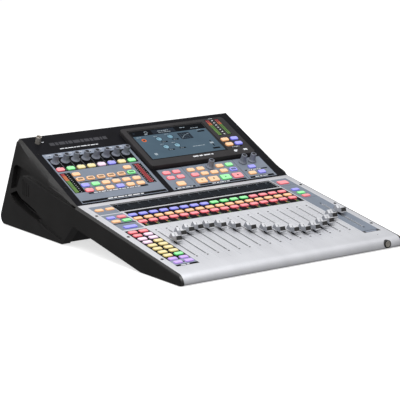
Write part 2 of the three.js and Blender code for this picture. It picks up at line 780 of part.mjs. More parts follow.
// A rocker, tilted to its "on" side; it rocks about a pin along X.
function powerRocker() {
  const half = ROCKER.height / 2;
  const profile = [[-6, -3], [0.3, -half], [-0.9, 0], [0.3, half], [-6, 3]];
  return drawnAcross(profile, widened([0, 0], ROCKER.width / 2)).rotate([ROCKER.tilt, 0, 0]);
}

const footStrip = (x, y) => raised(roundedOutline(x, y, 4, 3), [0, BODY_LIFT + 1.6 - GAP]);

// ---------------------------------------------------------------- boards and power supply

const TRACK = { width: 11, top: -4, floor: -14.5, board: -16.1, slot: 2.6 };

// The fader board: a circuit board that carries one motor fader track under each slot.
function faderBoard() {
  const edge = 66;
  const { width, top, floor, board, slot } = TRACK;
  const sheet = block([-170, 195], [-SLOT_CENTRE - edge, -SLOT_CENTRE + edge], [board, floor + 0.5]);
  const tracks = SLOT_XS.map((x) => blockAt(x, -SLOT_CENTRE, width, 126, [floor, top]));
  const channels = SLOT_XS.map((x) => blockAt(x, -SLOT_CENTRE, slot, SLOT_LENGTH, [floor + 2.5, 0]));
  return cut(joined([sheet, ...tracks]), channels);
}

// The main board lies under the upper panel, with an encoder body under each knob.
function mainBoard() {
  const board = block([-200, 190], [12, 172], [-24.6, -23]);
  const encoders = Object.values(KNOBS).map(([x, y]) => blockAt(x, y, 12, 12, [-23.5, -10]));
  const heatSink = Array.from({ length: 6 }, (_, i) => blockAt(0, 90 + 8 * i, 60, 2, [-42, -24]));
  const screenFrame = block(SCREEN.x, SCREEN.y, [-23.5, -11]);
  return joined([board, ...encoders, ...heatSink, screenFrame]);
}

function powerSupply() {
  const base = block([70, 180], [CREASE_Y + 80, CREASE_Y + 205], [BODY_LIFT + 4, BODY_LIFT + 6]);
  const can = block([74, 176], [CREASE_Y + 84, CREASE_Y + 201], [BODY_LIFT + 5, BODY_LIFT + 36]);
  return base.add(can);
}

// ---------------------------------------------------------------- the console

function addPanels() {
  place(faderDeck, "fader_panel", faderPanel(), FINISH.silver);
  place(upperDeck, "upper_panel", upperPanel(), FINISH.blackPanel);
  place(upperDeck, "rear_panel", rearPanel(), FINISH.steel);
  place(root, "chassis_tray", chassisTray(), FINISH.steel);
  place(root, "right_cheek", rightCheek(), FINISH.cheek);
  place(root, "left_cheek", mirrored(rightCheek()), FINISH.cheek);
}

function addDisplays() {
  const strip = block(widened(STRIP_WINDOW.x, -GAP), widened(STRIP_WINDOW.y, -GAP), [-5, -0.2]);
  const glass = block(SCREEN.x, SCREEN.y, [-9, BEZEL_HEIGHT - 0.8]);
  place(faderDeck, "channel_display_strip", strip, FINISH.glass);
  place(upperDeck, "screen_bezel", screenBezel(), FINISH.bezel);
  place(upperDeck, "touchscreen", glass, FINISH.glass);
}

function addSockets() {
  place(upperDeck, "lamp_socket", lampSocket(), FINISH.zinc, [LAMP.x, LAMP.y, 0]);
  place(root, "headphone_jack", headphoneJack(), FINISH.socket);
  place(upperDeck, "input_sockets", socketBlock(INPUTS), FINISH.socket);
  place(upperDeck, "output_sockets", socketBlock(OUTPUTS), FINISH.socket);
  place(upperDeck, "digital_ports", digitalPorts(), FINISH.zinc);
  place(upperDeck, "power_inlet", powerInlet(), FINISH.socket);
  place(upperDeck, "power_rocker", powerRocker(), FINISH.socket, [ROCKER.x, REAR_FACE - 1, ROCKER.z]);
}

function addInsides() {
  place(faderDeck, "fader_board", faderBoard(), FINISH.board);
  place(upperDeck, "main_board", mainBoard(), FINISH.board);
  place(root, "power_supply", powerSupply(), FINISH.zinc);
}

function addFeet() {
  place(root, "front_foot_strip", footStrip([-170, 170], [FRONT_Y + 30, FRONT_Y + 42]), FINISH.rubber);
  place(root, "rear_foot_strip", footStrip([-170, 170], [CREASE_Y + 205, CREASE_Y + 217]), FINISH.rubber);
}

addPanels();
addDisplays();
addSockets();
addInsides();
addFeet();
addFaders();
addKnobs();
addKeypads(faderDeck, FADER_DECK_KEYS);
addKeypads(upperDeck, UPPER_DECK_KEYS);
place(upperDeck, "screen_keys", keypad(SCREEN_KEYS, BEZEL_HEIGHT + KEY_HEIGHT), FINISH.clearKey);

export default root;
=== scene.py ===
"""The looks of a digital mixing console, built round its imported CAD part.

The frame is in metres: +X is the operator's right, +Y points away from the operator, +Z is up.
Sizes in this script are in millimetres. On a sloped panel a place is (x, up, height): across the
console, up the slope from the crease between the two panels, and over the panel's surface.
"""

import itertools
import json
import math

import bpy
from mathutils import Matrix, Vector
from mathutils.geometry import delaunay_2d_cdt

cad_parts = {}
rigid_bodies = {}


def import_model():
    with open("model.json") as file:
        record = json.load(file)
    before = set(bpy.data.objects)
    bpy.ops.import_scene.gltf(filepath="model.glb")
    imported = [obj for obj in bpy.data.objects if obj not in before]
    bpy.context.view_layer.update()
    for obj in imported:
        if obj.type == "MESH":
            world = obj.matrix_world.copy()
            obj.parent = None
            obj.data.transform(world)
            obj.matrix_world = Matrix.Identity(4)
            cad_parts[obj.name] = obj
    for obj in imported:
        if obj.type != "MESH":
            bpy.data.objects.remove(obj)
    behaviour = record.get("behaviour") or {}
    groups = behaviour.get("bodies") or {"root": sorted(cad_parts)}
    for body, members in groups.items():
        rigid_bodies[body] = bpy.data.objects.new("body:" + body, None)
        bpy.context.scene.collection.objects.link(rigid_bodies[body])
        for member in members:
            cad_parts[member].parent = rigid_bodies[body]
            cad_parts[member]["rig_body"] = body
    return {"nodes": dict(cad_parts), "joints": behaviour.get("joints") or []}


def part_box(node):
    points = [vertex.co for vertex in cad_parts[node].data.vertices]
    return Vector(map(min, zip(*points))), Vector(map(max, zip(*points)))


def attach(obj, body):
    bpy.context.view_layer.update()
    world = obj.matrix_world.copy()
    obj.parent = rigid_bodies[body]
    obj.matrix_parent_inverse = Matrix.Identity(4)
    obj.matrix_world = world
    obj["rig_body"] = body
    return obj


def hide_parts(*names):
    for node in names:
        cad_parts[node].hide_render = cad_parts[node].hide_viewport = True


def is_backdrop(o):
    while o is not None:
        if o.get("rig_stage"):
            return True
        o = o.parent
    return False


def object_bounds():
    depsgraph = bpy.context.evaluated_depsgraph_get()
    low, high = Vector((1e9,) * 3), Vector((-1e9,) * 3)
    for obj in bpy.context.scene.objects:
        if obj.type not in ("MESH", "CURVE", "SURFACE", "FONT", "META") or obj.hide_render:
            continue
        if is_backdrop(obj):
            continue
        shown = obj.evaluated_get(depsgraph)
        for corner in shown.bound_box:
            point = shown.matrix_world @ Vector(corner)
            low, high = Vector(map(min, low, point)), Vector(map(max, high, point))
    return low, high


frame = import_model()
bounds_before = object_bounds()

# ---- sizes shared with the CAD part

MM = 0.001
GAP = 0.3
SHEET = 2.0
FADER_PANEL_LENGTH = 304.2
NOSE_RADIUS = 16.0
UPPER_REAR = 208.5
TOP_CORNER_RADIUS = 5.0
REAR_FLANGE = 12.0
HALF_PANEL = 214.0

PITCH = 20.2
CHANNEL_X = [-149 + PITCH * channel for channel in range(16)]
MAIN_FADER_X = 184.0
SLOT_X = CHANNEL_X + [MAIN_FADER_X]
SLOT_CENTRE = 197.4
SLOT_WIDTH = 2.8
SLOT_LENGTH = 109.0

KEY_TOP = 1.6
KEY_CLEARANCE = 0.4
BEZEL_TOP = 8.0
BEZEL_X, BEZEL_Y, BEZEL_CORNER = (-30, 190), (67.5, 185), 7
SCREEN_X, SCREEN_Y = (-16.6, 137.4), (87.6, 173.5)
STRIP_X, STRIP_Y = (-158.5, 163.5), (-44, -16)
ENCODER_X = [-190.5 + PITCH * i for i in range(8)]
ENCODERS = [f"encoder_{i + 1}" for i in range(8)]
KNOBS = [*ENCODERS, "session_encoder", "monitor_level_knob", "phones_level_knob"]
FADERS = [*[f"fader_{i + 1}" for i in range(16)], "main_fader"]


def joint(name):
    return next(j for j in frame["joints"] if j["name"] == name)


slide = Vector(joint("fader_1_slide")["axis"])
turn = Vector(joint("encoder_1_turn")["axis"])
FADER_SLOPE = math.atan2(abs(slide.z), abs(slide.y))
UPPER_SLOPE = math.atan2(abs(turn.y), abs(turn.z))
fader_panel_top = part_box("fader_panel")[1]
CREASE = Vector((
    0,
    fader_panel_top.y + (GAP * math.cos(FADER_SLOPE) - SHEET * math.sin(FADER_SLOPE)) * MM,
    fader_panel_top.z + GAP * math.sin(FADER_SLOPE) * MM,
))


class Deck:
    """A sloped panel's own axes."""

    def __init__(self, slope):
        self.slope = slope
        self.up = Vector((0, math.cos(slope), math.sin(slope)))
        self.out = Vector((0, -math.sin(slope), math.cos(slope)))

    def at(self, x, up, height=0.0):
        return CREASE + (Vector((x, 0, 0)) + self.up * up + self.out * height) * MM

    def of(self, point):
        offset = (point - CREASE) / MM
        return offset.x, offset.dot(self.up), offset.dot(self.out)


LOWER = Deck(FADER_SLOPE)
UPPER = Deck(UPPER_SLOPE)


def extent(node, deck):
    """A node's lowest and highest (x, up, height) on a deck."""
    places = [deck.of(v.co) for v in frame["nodes"][node].data.vertices]
    return [min(axis) for axis in zip(*places)], [max(axis) for axis in zip(*places)]


def centre_of(node, deck):
    """The middle of a node, across and up its deck."""
    low, high = extent(node, deck)
    return (low[0] + high[0]) / 2, (low[1] + high[1]) / 2


def arc(cx, cy, radius, start, end, steps):
    angles = [math.radians(start + (end - start) * i / steps) for i in range(steps + 1)]
    return [(cx + radius * math.cos(a), cy + radius * math.sin(a)) for a in angles]


class Fold:
    """A bent sheet: its outer line in a deck's (up, height), measured along the line."""

    def __init__(self, deck, line, start):
        self.deck = deck
        self.line = [Vector(p) for p in line]
        self.marks = [start]
        for a, b in zip(self.line, self.line[1:]):
            self.marks.append(self.marks[-1] + (b - a).length)
        runs = [(b - a).normalized() for a, b in zip(self.line, self.line[1:])]
        self.normals = [Vector((-run.y, run.x)) for run in runs]

    def at(self, x, mark, height=0.0):
        i = 0
        while i < len(self.normals) - 1 and mark > self.marks[i + 1] + 1e-4:
            i += 1
        share = (mark - self.marks[i]) / (self.marks[i + 1] - self.marks[i])
        point = self.line[i].lerp(self.line[i + 1], share)
        normal = self.normals[i]
        if abs(mark - self.marks[i + 1]) < 1e-3 and i < len(self.normals) - 1:
            mean = (normal + self.normals[i + 1]).normalized()
            normal = mean / mean.dot(normal)
        point = point + normal * height
        return self.deck.at(x, point.x, point.y)


# ---- materials

# The base colour of things that glow: nearly black, so that the room's light adds little.
UNLIT = (6, 6, 7)


def linear(colour):
    """An sRGB colour, 0 to 255 each, as linear values."""
    shares = [c / 255 for c in colour]
    return [s / 12.92 if s <= 0.04045 else ((s + 0.055) / 1.055) ** 2.4 for s in shares] + [1.0]


class Nodes:
    """A material's node tree, with short calls for the nodes used here."""

    def __init__(self, name):
        self.material = bpy.data.materials.new(name)
        self.material.use_nodes = True
        self.tree = self.material.node_tree
        self.tree.nodes.clear()

    def new(self, kind, inputs=None, **settings):
        """A node with its settings, and a value or another node's output for each named input."""
        node = self.tree.nodes.new("ShaderNode" + kind)
        for key, value in settings.items():
            setattr(node, key, value)
        for socket, value in (inputs or {}).items():
            self.put(node.inputs[socket], value)
        return node

    def put(self, socket, value):
        """A value, or another node's output, into a socket."""
        if isinstance(value, bpy.types.NodeSocket):
            self.tree.links.new(value, socket)
        else:
            socket.default_value = value

    def noise(self, vector, scale, detail=3.0, roughness=0.55):
        inputs = {"Vector": vector, "Scale": scale, "Detail": detail, "Roughness": roughness}
        return self.new("TexNoise", inputs).outputs["Fac"]

    def spread(self, value, low, high, start=0.3, end=0.7):
        """A value from start to end spread between low and high."""
        inputs = {"Value": value, "From Min": start, "From Max": end, "To Min": low, "To Max": high}
        return self.new("MapRange", inputs).outputs["Result"]

    def mixed(self, share, a, b):
        node = self.new("Mix", {"Factor": share}, data_type="RGBA")
        self.put(node.inputs["A"], a)
        self.put(node.inputs["B"], b)
        return node.outputs["Result"]

    def finished(self, inputs, grain=None, depth=0.0, strength=1.0):
        """The material, with its shader's inputs and the relief of its grain."""
        shader = self.new("BsdfPrincipled", inputs)
        if grain:
            bump = self.new("Bump", {"Height": grain, "Distance": depth * MM, "Strength": strength})
            self.put(shader.inputs["Normal"], bump.outputs["Normal"])
        self.new("OutputMaterial", {"Surface": shader.outputs["BSDF"]})
        return self.material


def surface(name, tones, roughness, metallic, grain, relief, stretch=None, glow=0.0, ior=1.5):
    """A moulded, painted or plated surface: two tones in soft clouds, grain in its gloss and relief.

    grain is the number of grains in a metre, relief their depth in millimetres; a low ior keeps a
    dark surface from mirroring the ceiling."""
    n = Nodes(name)
    place = n.new("TexCoord").outputs["Object"]
    if stretch:
        place = n.new("Mapping", {"Vector": place, "Scale": stretch}).outputs["Vector"]
    clouds = n.noise(place, 30.0, 4.0)
    fine = n.noise(place, grain, 2.0, 0.7)
    colour = n.mixed(n.spread(clouds, 0.0, 1.0), linear(tones[0]), linear(tones[1]))
    colour = n.mixed(n.spread(fine, 0.0, 0.18), colour, linear([c * 0.72 for c in tones[0]]))
    inputs = {
        "Base Color": n.mixed(glow, colour, linear(UNLIT)),
        "Metallic": metallic,
        "Roughness": n.spread(fine, roughness * 0.82, min(1.0, roughness * 1.2)),
        "IOR": ior,
    }
    if glow:
        inputs |= {"Emission Color": colour, "Emission Strength": glow}
    return n.finished(inputs, fine, relief, 0.6)


def lit_key(name, pale, deep, dark_centre=False):
    """Milky silicone lit from below: pale over the lamp, deeper in colour towards the cap's edges."""
    n = Nodes(name)
    place = n.new("TexCoord").outputs["Object"]
    lit = n.new("Attribute", attribute_name="lit").outputs["Fac"]
    fine = n.noise(place, 1700.0, 2.0, 0.7)
    clouds = n.noise(place, 260.0, 2.0)
    level = n.new("Math", operation="ADD")
    n.put(level.inputs[0], lit)
    n.put(level.inputs[1], n.spread(clouds, -0.08, 0.08))
    share = n.spread(level.outputs["Value"], 0.0, 1.0, 0.1, 0.85)
    colour = n.mixed(share, linear(deep), linear(pale))
    if dark_centre:
        colour = n.mixed(n.spread(lit, 0.0, 0.8, 0.905, 0.94), colour, linear([c * 0.45 for c in deep]))
    inputs = {
        "Base Color": n.mixed(0.55, colour, linear(UNLIT)),
        "Roughness": n.spread(fine, 0.42, 0.6),
        "Emission Color": colour,
        "Emission Strength": 0.55,
        "Subsurface Weight": 0.15,
        "Subsurface Scale": 0.002,
    }
    return n.finished(inputs, fine, 0.02)


MATERIALS = {
    "silver": surface("silver_paint", ((206, 207, 212), (216, 217, 222)), 0.36, 0.35, 2200, 0.015,
                      (1, 0.25, 0.25)),
    "black": surface("black_paint", ((18, 18, 21), (24, 24, 28)), 0.48, 0.0, 2000, 0.02, ior=1.12),
    "slate": surface("slate_print", ((115, 123, 135), (124, 132, 145)), 0.5, 0.0, 1800, 0.01, ior=1.25),
    "slate_pale": surface("pale_slate_print", ((126, 134, 149), (136, 144, 159)), 0.5, 0.0, 1800, 0.01,
                          ior=1.25),
    "ink": surface("black_print", ((11, 11, 13), (16, 16, 19)), 0.5, 0.0, 1800, 0.01, ior=1.12),
    "white": surface("white_print", ((205, 208, 214), (226, 228, 232)), 0.5, 0.0, 1800, 0.01),
    "grey": surface("grey_print", ((150, 153, 160), (166, 169, 176)), 0.5, 0.0, 1800, 0.01),
    "title": surface("faint_print", ((58, 58, 62), (68, 68, 73)), 0.5, 0.0, 1800, 0.01, ior=1.2),
    "window": surface("smoked_window", ((8, 9, 11), (14, 15, 18)), 0.2, 0.0, 900, 0.005, ior=1.1),
    "red_led": surface("red_segment", ((150, 36, 44), (168, 48, 52)), 0.3, 0.0, 900, 0.005, glow=0.3),
    "orange_led": surface("orange_segment", ((186, 92, 48), (204, 112, 60)), 0.3, 0.0, 900, 0.005, glow=0.3),
    "green_led": surface("green_segment", ((74, 116, 38), (98, 140, 52)), 0.3, 0.0, 900, 0.005, glow=0.3),
    "bezel": surface("bezel_plastic", ((42, 41, 42), (50, 48, 50)), 0.5, 0.0, 1300, 0.03, ior=1.25),
    "cheek": surface("cheek_plastic", ((32, 31, 31), (40, 39, 39)), 0.36, 0.0, 1100, 0.03),
    "steel": surface("black_steel", ((24, 24, 26), (32, 32, 34)), 0.5, 0.2, 1500, 0.03),
    "felt": surface("slot_felt", ((9, 9, 10), (14, 14, 15)), 0.95, 0.0, 1600, 0.06, ior=1.1),
    "rubber": surface("foot_rubber", ((14, 14, 14), (24, 24, 24)), 0.85, 0.0, 900, 0.05),
    "board": surface("board_lacquer", ((20, 62, 40), (28, 76, 50)), 0.4, 0.0, 700, 0.03),
    "zinc": surface("zinc_plate", ((150, 150, 150), (176, 176, 174)), 0.34, 0.9, 600, 0.02),
    "socket": surface("socket_plastic", ((16, 16, 17), (24, 24, 26)), 0.42, 0.0, 1300, 0.03),
    "nickel": surface("nickel", ((196, 190, 182), (214, 208, 200)), 0.3, 0.6, 900, 0.01),
    "gold": surface("contact_gold", ((196, 158, 84), (214, 178, 104)), 0.25, 0.9, 900, 0.01),
    "knob": surface("knob_rubber", ((112, 117, 129), (128, 133, 146)), 0.6, 0.0, 1500, 0.03),
    "knob_top": surface("knob_top", ((34, 35, 39), (44, 45, 49)), 0.5, 0.0, 1500, 0.02, ior=1.25),
    "cap": surface("fader_cap_metal", ((200, 201, 205), (212, 213, 217)), 0.36, 0.15, 1500, 0.02),
    # The fader cap's silver painted darker, as painted shade on its sides and ends.
    "cap_shaded": surface("fader_cap_shaded", ((138, 141, 148), (156, 159, 165)), 0.36, 0.2, 1500, 0.02),
    "cap_end": surface("fader_cap_end", ((44, 43, 44), (54, 53, 53)), 0.4, 0.0, 1500, 0.02),
    "screw": surface("black_screw", ((16, 16, 17), (26, 26, 28)), 0.35, 0.7, 900, 0.02),
    "web": surface("clear_silicone", ((190, 188, 184), (206, 204, 200)), 0.5, 0.0, 1500, 0.02),
    "lcd": surface("strip_display", ((24, 27, 32), (31, 35, 41)), 0.2, 0.0, 2500, 0.001, glow=0.5, ior=1.06),
    "lcd_mark": surface("strip_mark", ((96, 104, 114), (120, 130, 140)), 0.2, 0.0, 2500, 0.001, glow=0.7,
                        ior=1.06),
}

SCREEN_TONES = {
    "page": ("screen_page", (80, 100, 115), (86, 107, 122)),
    "page_dark": ("screen_header", (10, 13, 17), (14, 18, 23)),
    "page_box": ("screen_box", (34, 41, 50), (42, 50, 60)),
    "page_blue": ("screen_blue", (118, 160, 182), (160, 200, 218)),
    "page_light": ("screen_light", (150, 165, 176), (188, 200, 208)),
    "page_orange": ("screen_orange", (214, 96, 52), (232, 120, 70)),
}
for ink, (look, *tones) in SCREEN_TONES.items():
    MATERIALS[ink] = surface(look, tones, 0.25, 0.0, 2500, 0.001, glow=1.0, ior=1.06)

# One letter for each colour of key: its name, its tone over the lamp and its tone at the edges.
KEY_TONES = {
    "r": ("red", (252, 160, 166), (222, 84, 98)),
    "g": ("green", (166, 252, 176), (70, 190, 96)),
    "y": ("yellow", (242, 228, 176), (200, 180, 112)),
    "w": ("white", (252, 228, 246), (214, 180, 206)),
    "b": ("blue", (170, 170, 248), (104, 104, 214)),
    "o": ("orange", (254, 208, 166), (222, 158, 104)),
    "p": ("purple", (208, 178, 240), (166, 128, 216)),
}
for letter, (colour, pale, deep) in KEY_TONES.items():
    MATERIALS[letter] = lit_key("key_" + colour, pale, deep)
# A capital letter is a key with a dark legend area in its middle.
for letter in "ogb":
    colour, pale, deep = KEY_TONES[letter]
    MATERIALS[letter.upper()] = lit_key(f"key_{colour}_marked", pale, deep, True)

# ---- mesh helpers


class Build:
    """Collects vertices and faces of one piece, in the console's frame, with the material of each face."""

    def __init__(self):
        self.verts, self.faces, self.indices, self.lit, self.names = [], [], [], [], []

    def index(self, material):
        if material not in self.names:
            self.names.append(material)
        return self.names.index(material)

    def add(self, points, faces, material, lit=0.0):
        """material is one name, or one for each face; lit is one value, or one for each point."""
        first = len(self.verts)
        self.verts.extend(points)
        self.lit.extend(lit if isinstance(lit, list) else [lit] * len(points))
        self.faces.extend([tuple(first + i for i in face) for face in faces])
        names = material if isinstance(material, list) else [material] * len(faces)
        self.indices.extend(self.index(m) for m in names)

    def rings(self, rings, materials, lit=None):
        """Closed rings of equally many points, joined in turn; one material for each band and end."""
        count = len(rings[0])
        bands = materials if isinstance(materials, list) else [materials] * (len(rings) + 1)
        faces, names = [tuple(reversed(range(count)))], [bands[0]]
        for r in range(len(rings) - 1):
            a, b = r * count, (r + 1) * count
            for i in range(count):
                j = (i + 1) % count
                faces.append((a + i, a + j, b + j, b + i))
                names.append(bands[r + 1])
        faces.append(tuple((len(rings) - 1) * count + i for i in range(count)))
        names.append(bands[-1])
        values = [v for v in lit for _ in range(count)] if lit else 0.0
        self.add([p for ring in rings for p in ring], faces, names, values)

    def finish(self, name, body, replaces=()):
        """Makes the piece; it rides on a CAD body and takes the place of the replaced nodes."""
        mesh = bpy.data.meshes.new(name)
        mesh.from_pydata([tuple(v) for v in self.verts], [], self.faces)
        for material in self.names:
            mesh.materials.append(MATERIALS[material])
        mesh.polygons.foreach_set("material_index", self.indices)
        if any(self.lit):
            mesh.attributes.new("lit", "FLOAT", "POINT").data.foreach_set("value", self.lit)
        mesh.polygons.foreach_set("use_smooth", [True] * len(mesh.polygons))
        mesh.set_sharp_from_angle(angle=math.radians(32))
        mesh.validate()
        obj = bpy.data.objects.new(name, mesh)
        bpy.context.scene.collection.objects.link(obj)
        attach(obj, body)
        if replaces:
            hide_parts(*replaces)


def rect(x0, x1, y0, y1):
    return [(x0, y0), (x1, y0), (x1, y1), (x0, y1)]


def rounded(x0, x1, y0, y1, radius, steps=3):
    return [
        *arc(x1 - radius, y0 + radius, radius, -90, 0, steps),
        *arc(x1 - radius, y1 - radius, radius, 0, 90, steps),
        *arc(x0 + radius, y1 - radius, radius, 90, 180, steps),
        *arc(x0 + radius, y0 + radius, radius, 180, 270, steps),
    ]


def circle(x, y, radius, sides=20):
    return arc(x, y, radius, 0, 360 - 360 / sides, sides - 1)


def line(x0, y0, x1, y1, width):
    """A straight printed line."""
    side = Vector((y0 - y1, x1 - x0)).normalized() * width / 2
    return [(x0 - side.x, y0 - side.y), (x1 - side.x, y1 - side.y),
            (x1 + side.x, y1 + side.y), (x0 + side.x, y0 + side.y)]


def fields(ink, *boxes):
    """Printed boxes of one ink, each (x0, x1, y0, y1)."""
    return [(rect(*box), ink) for box in boxes]


def words(x, y, width, height, ink="white", narrow=0.75):
    """Lettering too small to read, as a row of bars."""
    bars, at, unit = [], x, height * narrow
    for letters in itertools.cycle((5, 3, 6, 2, 4, 7, 3)):
        if at + letters * unit > x + width:
            return bars
        bars += fields(ink, (at, at + letters * unit, y, y + height))
        at += (letters + 1) * unit


def triangulate(outline, holes, regions, base, marks):
    """Triangles of a sheet round its holes, with the ink of each; marks are lines across the sheet."""
    points, faces, edges = [], [], []
    for loop in [outline, *holes, *[shape for shape, _ in regions]]:
        faces.append(list(range(len(points), len(points) + len(loop))))
        points.extend(Vector(p) for p in loop)
    half = max(p[0] for p in outline)
    for mark in marks:
        edges.append((len(points), len(points) + 1))
        points.extend([Vector((-half, mark)), Vector((half, mark))])
    verts, _, tris, _, _, owners = delaunay_2d_cdt(points, edges, faces, 1, 1e-4, True)
    first_region = 1 + len(holes)
    kept, inks = [], []
    for tri, owner in zip(tris, owners):
        if 0 in owner and not any(1 <= o < first_region for o in owner):
            kept.append(tuple(tri))
            last = max(owner)
            inks.append(regions[last - first_region][1] if last >= first_region else base)
    return verts, kept, inks


def rim_of(verts, tris):
    """The edges round a sheet and its holes, and each rim point's way outwards."""
    directed = {(t[i], t[(i + 1) % 3]) for t in tris for i in range(3)}
    rim = sorted((a, b) for a, b in directed if (b, a) not in directed)
    normals = {}
    for a, b in rim:
        run = (verts[b] - verts[a]).normalized()
        for v in (a, b):
            normals.setdefault(v, []).append(Vector((run.y, -run.x)))
    ways = {v: Vector((0, 0)) for v in sorted(normals)}
    for v, sides in normals.items():
        if len(sides) == 2:
            ways[v] = (sides[0] + sides[1]) / (1 + sides[0].dot(sides[1]))
    return rim, ways


def cut_sheet(name, body, at, outline, holes, regions, base, edge, marks, replaces=()):
    """A sheet with holes and printed regions. at(x, up, height) places it; edge lists (out, down) steps.

    The outline and the holes are given at the surface, before the edge steps widen the sheet. All
    outlines run counter-clockwise, and a later region covers an earlier one."""
    verts, kept, names = triangulate(outline, holes, regions, base, marks)
    rim, ways = rim_of(verts, kept)
    used = sorted({v for t in kept for v in t})
    points = [at(verts[v].x, verts[v].y, 0) for v in used]
    levels = [{v: i for i, v in enumerate(used)}]
    for out, down in edge:
        levels.append({v: len(points) + i for i, v in enumerate(ways)})
        for v, way in ways.items():
            moved = verts[v] + way * out
            points.append(at(moved.x, moved.y, -down))
    bottom = dict(levels[-1])
    for v in used:
        if v not in bottom:
            bottom[v] = len(points)
            points.append(at(verts[v].x, verts[v].y, -edge[-1][1]))
    faces = [tuple(levels[0][v] for v in t) for t in kept]
    for a, b in rim:
        for high, low in zip(levels, levels[1:]):
            faces.append((high[a], low[a], low[b], high[b]))
            names.append(base)
    for t in kept:
        faces.append(tuple(bottom[v] for v in reversed(t)))
        names.append(base)
    build = Build()
    build.add(points, faces, names)
    build.finish(name, body, replaces)


def lathe(build, at, profile, materials, sides=24, shape=None):
    """A profile of (radius, height) turned about an axis. at(dx, dy, height) places a point;
    shape(angle, radius, height) may change the radius."""
    rings = []
    for radius, height in profile:
        ring = []
        for i in range(sides):
            angle = 2 * math.pi * i / sides
            r = shape(angle, radius, height) if shape else radius
            ring.append(at(r * math.cos(angle), r * math.sin(angle), height))
        rings.append(ring)
    build.rings(rings, materials)


def deck_place(deck, x, up, base=0.0):
    return lambda dx, dy, height: deck.at(x + dx, up + dy, base + height)


# ---- keys


def deck_of(node):
    """The deck that a node's joint belongs to, by the direction its body moves or turns."""
    body = frame["nodes"][node]["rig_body"]
    axis = next(Vector(j["axis"]) for j in frame["joints"] if j["child"] == body)
    flat = min(abs(axis.dot(LOWER.up)), abs(axis.dot(LOWER.out))) < 0.01
    return LOWER if flat else UPPER


def cap_boxes(node, deck, top):
    """The key caps of a keypad, as rows from the top one down, each a list of (x0, x1, y0, y1)."""
    mesh = frame["nodes"][node].data
    boxes = []
    for polygon in mesh.polygons:
        corners = [deck.of(mesh.vertices[v].co) for v in polygon.vertices]
        if all(abs(h - top) < 0.02 for _, _, h in corners):
            xs, ys = [c[0] for c in corners], [c[1] for c in corners]
            boxes.append([min(xs), max(xs), min(ys), max(ys)])
    caps = []
    for box in boxes:
        for cap in caps:
            if box[0] < cap[1] and cap[0] < box[1] and box[2] < cap[3] and cap[2] < box[3]:
                cap[:] = [min(cap[0], box[0]), max(cap[1], box[1]), min(cap[2], box[2]), max(cap[3], box[3])]
                break
        else:
            caps.append(list(box))
    caps.sort(key=lambda c: -(c[2] + c[3]))
    rows = []
    for cap in caps:
        middle = (cap[2] + cap[3]) / 2
        if rows and abs(rows[-1][0][2] + rows[-1][0][3] - 2 * middle) < 4:
            rows[-1].append(cap)
        else:
            rows.append([cap])
    return [sorted(row) for row in rows]


CAP_CORNER = 2.6
CENTRE_SHARE = 0.5
# A cap's rings from its foot to its top: (inset, height against the top, how brightly it is lit).
CAP_STEPS = [(0.0, -5.0, 0.0), (0.0, -0.9, 0.05), (0.12, -0.45, 0.3), (0.45, -0.14, 0.62), (1.0, -0.03, 0.8),
             (2.0, 0.0, 0.9)]


def key_cap(build, deck, box, top, material):
    """One cap: straight sides, a soft shoulder and a flat top whose middle is the brightest."""
    x0, x1, y0, y1 = box
    rings, lit = [], []
    for inset, height, value in CAP_STEPS:
        radius = max(CAP_CORNER - inset, 0.5)
        outline = rounded(x0 + inset, x1 - inset, y0 + inset, y1 - inset, radius, 4)
        rings.append([deck.at(x, y, top + height) for x, y in outline])
        lit.append(value)
    reach = Vector((x1 - x0, y1 - y0)) * CENTRE_SHARE / 2
    x, y = (x0 + x1) / 2, (y0 + y1) / 2
    centre = rounded(x - reach.x, x + reach.x, y - reach.y, y + reach.y, 0.7, 4)
    rings.append([deck.at(px, py, top) for px, py in centre])
    lit.append(1.0)
    build.rings(rings, material, lit=lit)


# The colours of each keypad's keys, row by row from the top.
KEY_COLOURS = {
    "select_keys": ["bbbbbbbbggggrrrr"],
    "solo_keys": ["oooooooooooooooo"],
    "mute_keys": ["rrrrrrrrrrrrrrrr"],
    "layer_keys": ["oo", "br", "og", "b", "rr", "rw", "ww", "wy", "yy", "yy", "yy", "yg", "pp", "pp"],
    "main_keys": ["r", "b", "g", "r"],
    "parameter_keys": ["rgyywbyg"],
    "processing_keys": ["oo", "OOOOOG", "bgoooo", "rooboo"],
    "session_keys": ["rrooog", "rrroooB", "o"],
    "transport_keys": ["oogr"],
    "monitor_keys": ["b", "ob"],
    "screen_keys": ["ob", "ob"],
}

PLAY = [(-1.7, -1.9), (1.9, 0.0), (-1.7, 1.9)]
BACK = [(-x, -y) for x, y in PLAY]
KEY_SYMBOLS = {"transport_keys": [BACK, rect(-1.6, 1.6, -1.6, 1.6), PLAY, circle(0, 0, 1.8, 16)]}


def key_symbol(build, deck, box, top, shape):
    """A dark symbol printed on a cap."""
    x, y = (box[0] + box[1]) / 2, (box[2] + box[3]) / 2
    build.rings([[deck.at(x + dx, y + dy, top + h) for dx, dy in shape] for h in (-0.05, 0.015)], "ink")


def keypad_web(build, node, deck):
    """The sheet that joins the caps, as the CAD part has it."""
    mesh = frame["nodes"][node].data
    low = [v.index for v in mesh.vertices if deck.of(v.co)[2] < -SHEET]
    order = {v: i for i, v in enumerate(low)}
    faces = [tuple(order[v] for v in p.vertices) for p in mesh.polygons
             if all(v in order for v in p.vertices)]
    build.add([mesh.vertices[v].co.copy() for v in low], faces, "web")


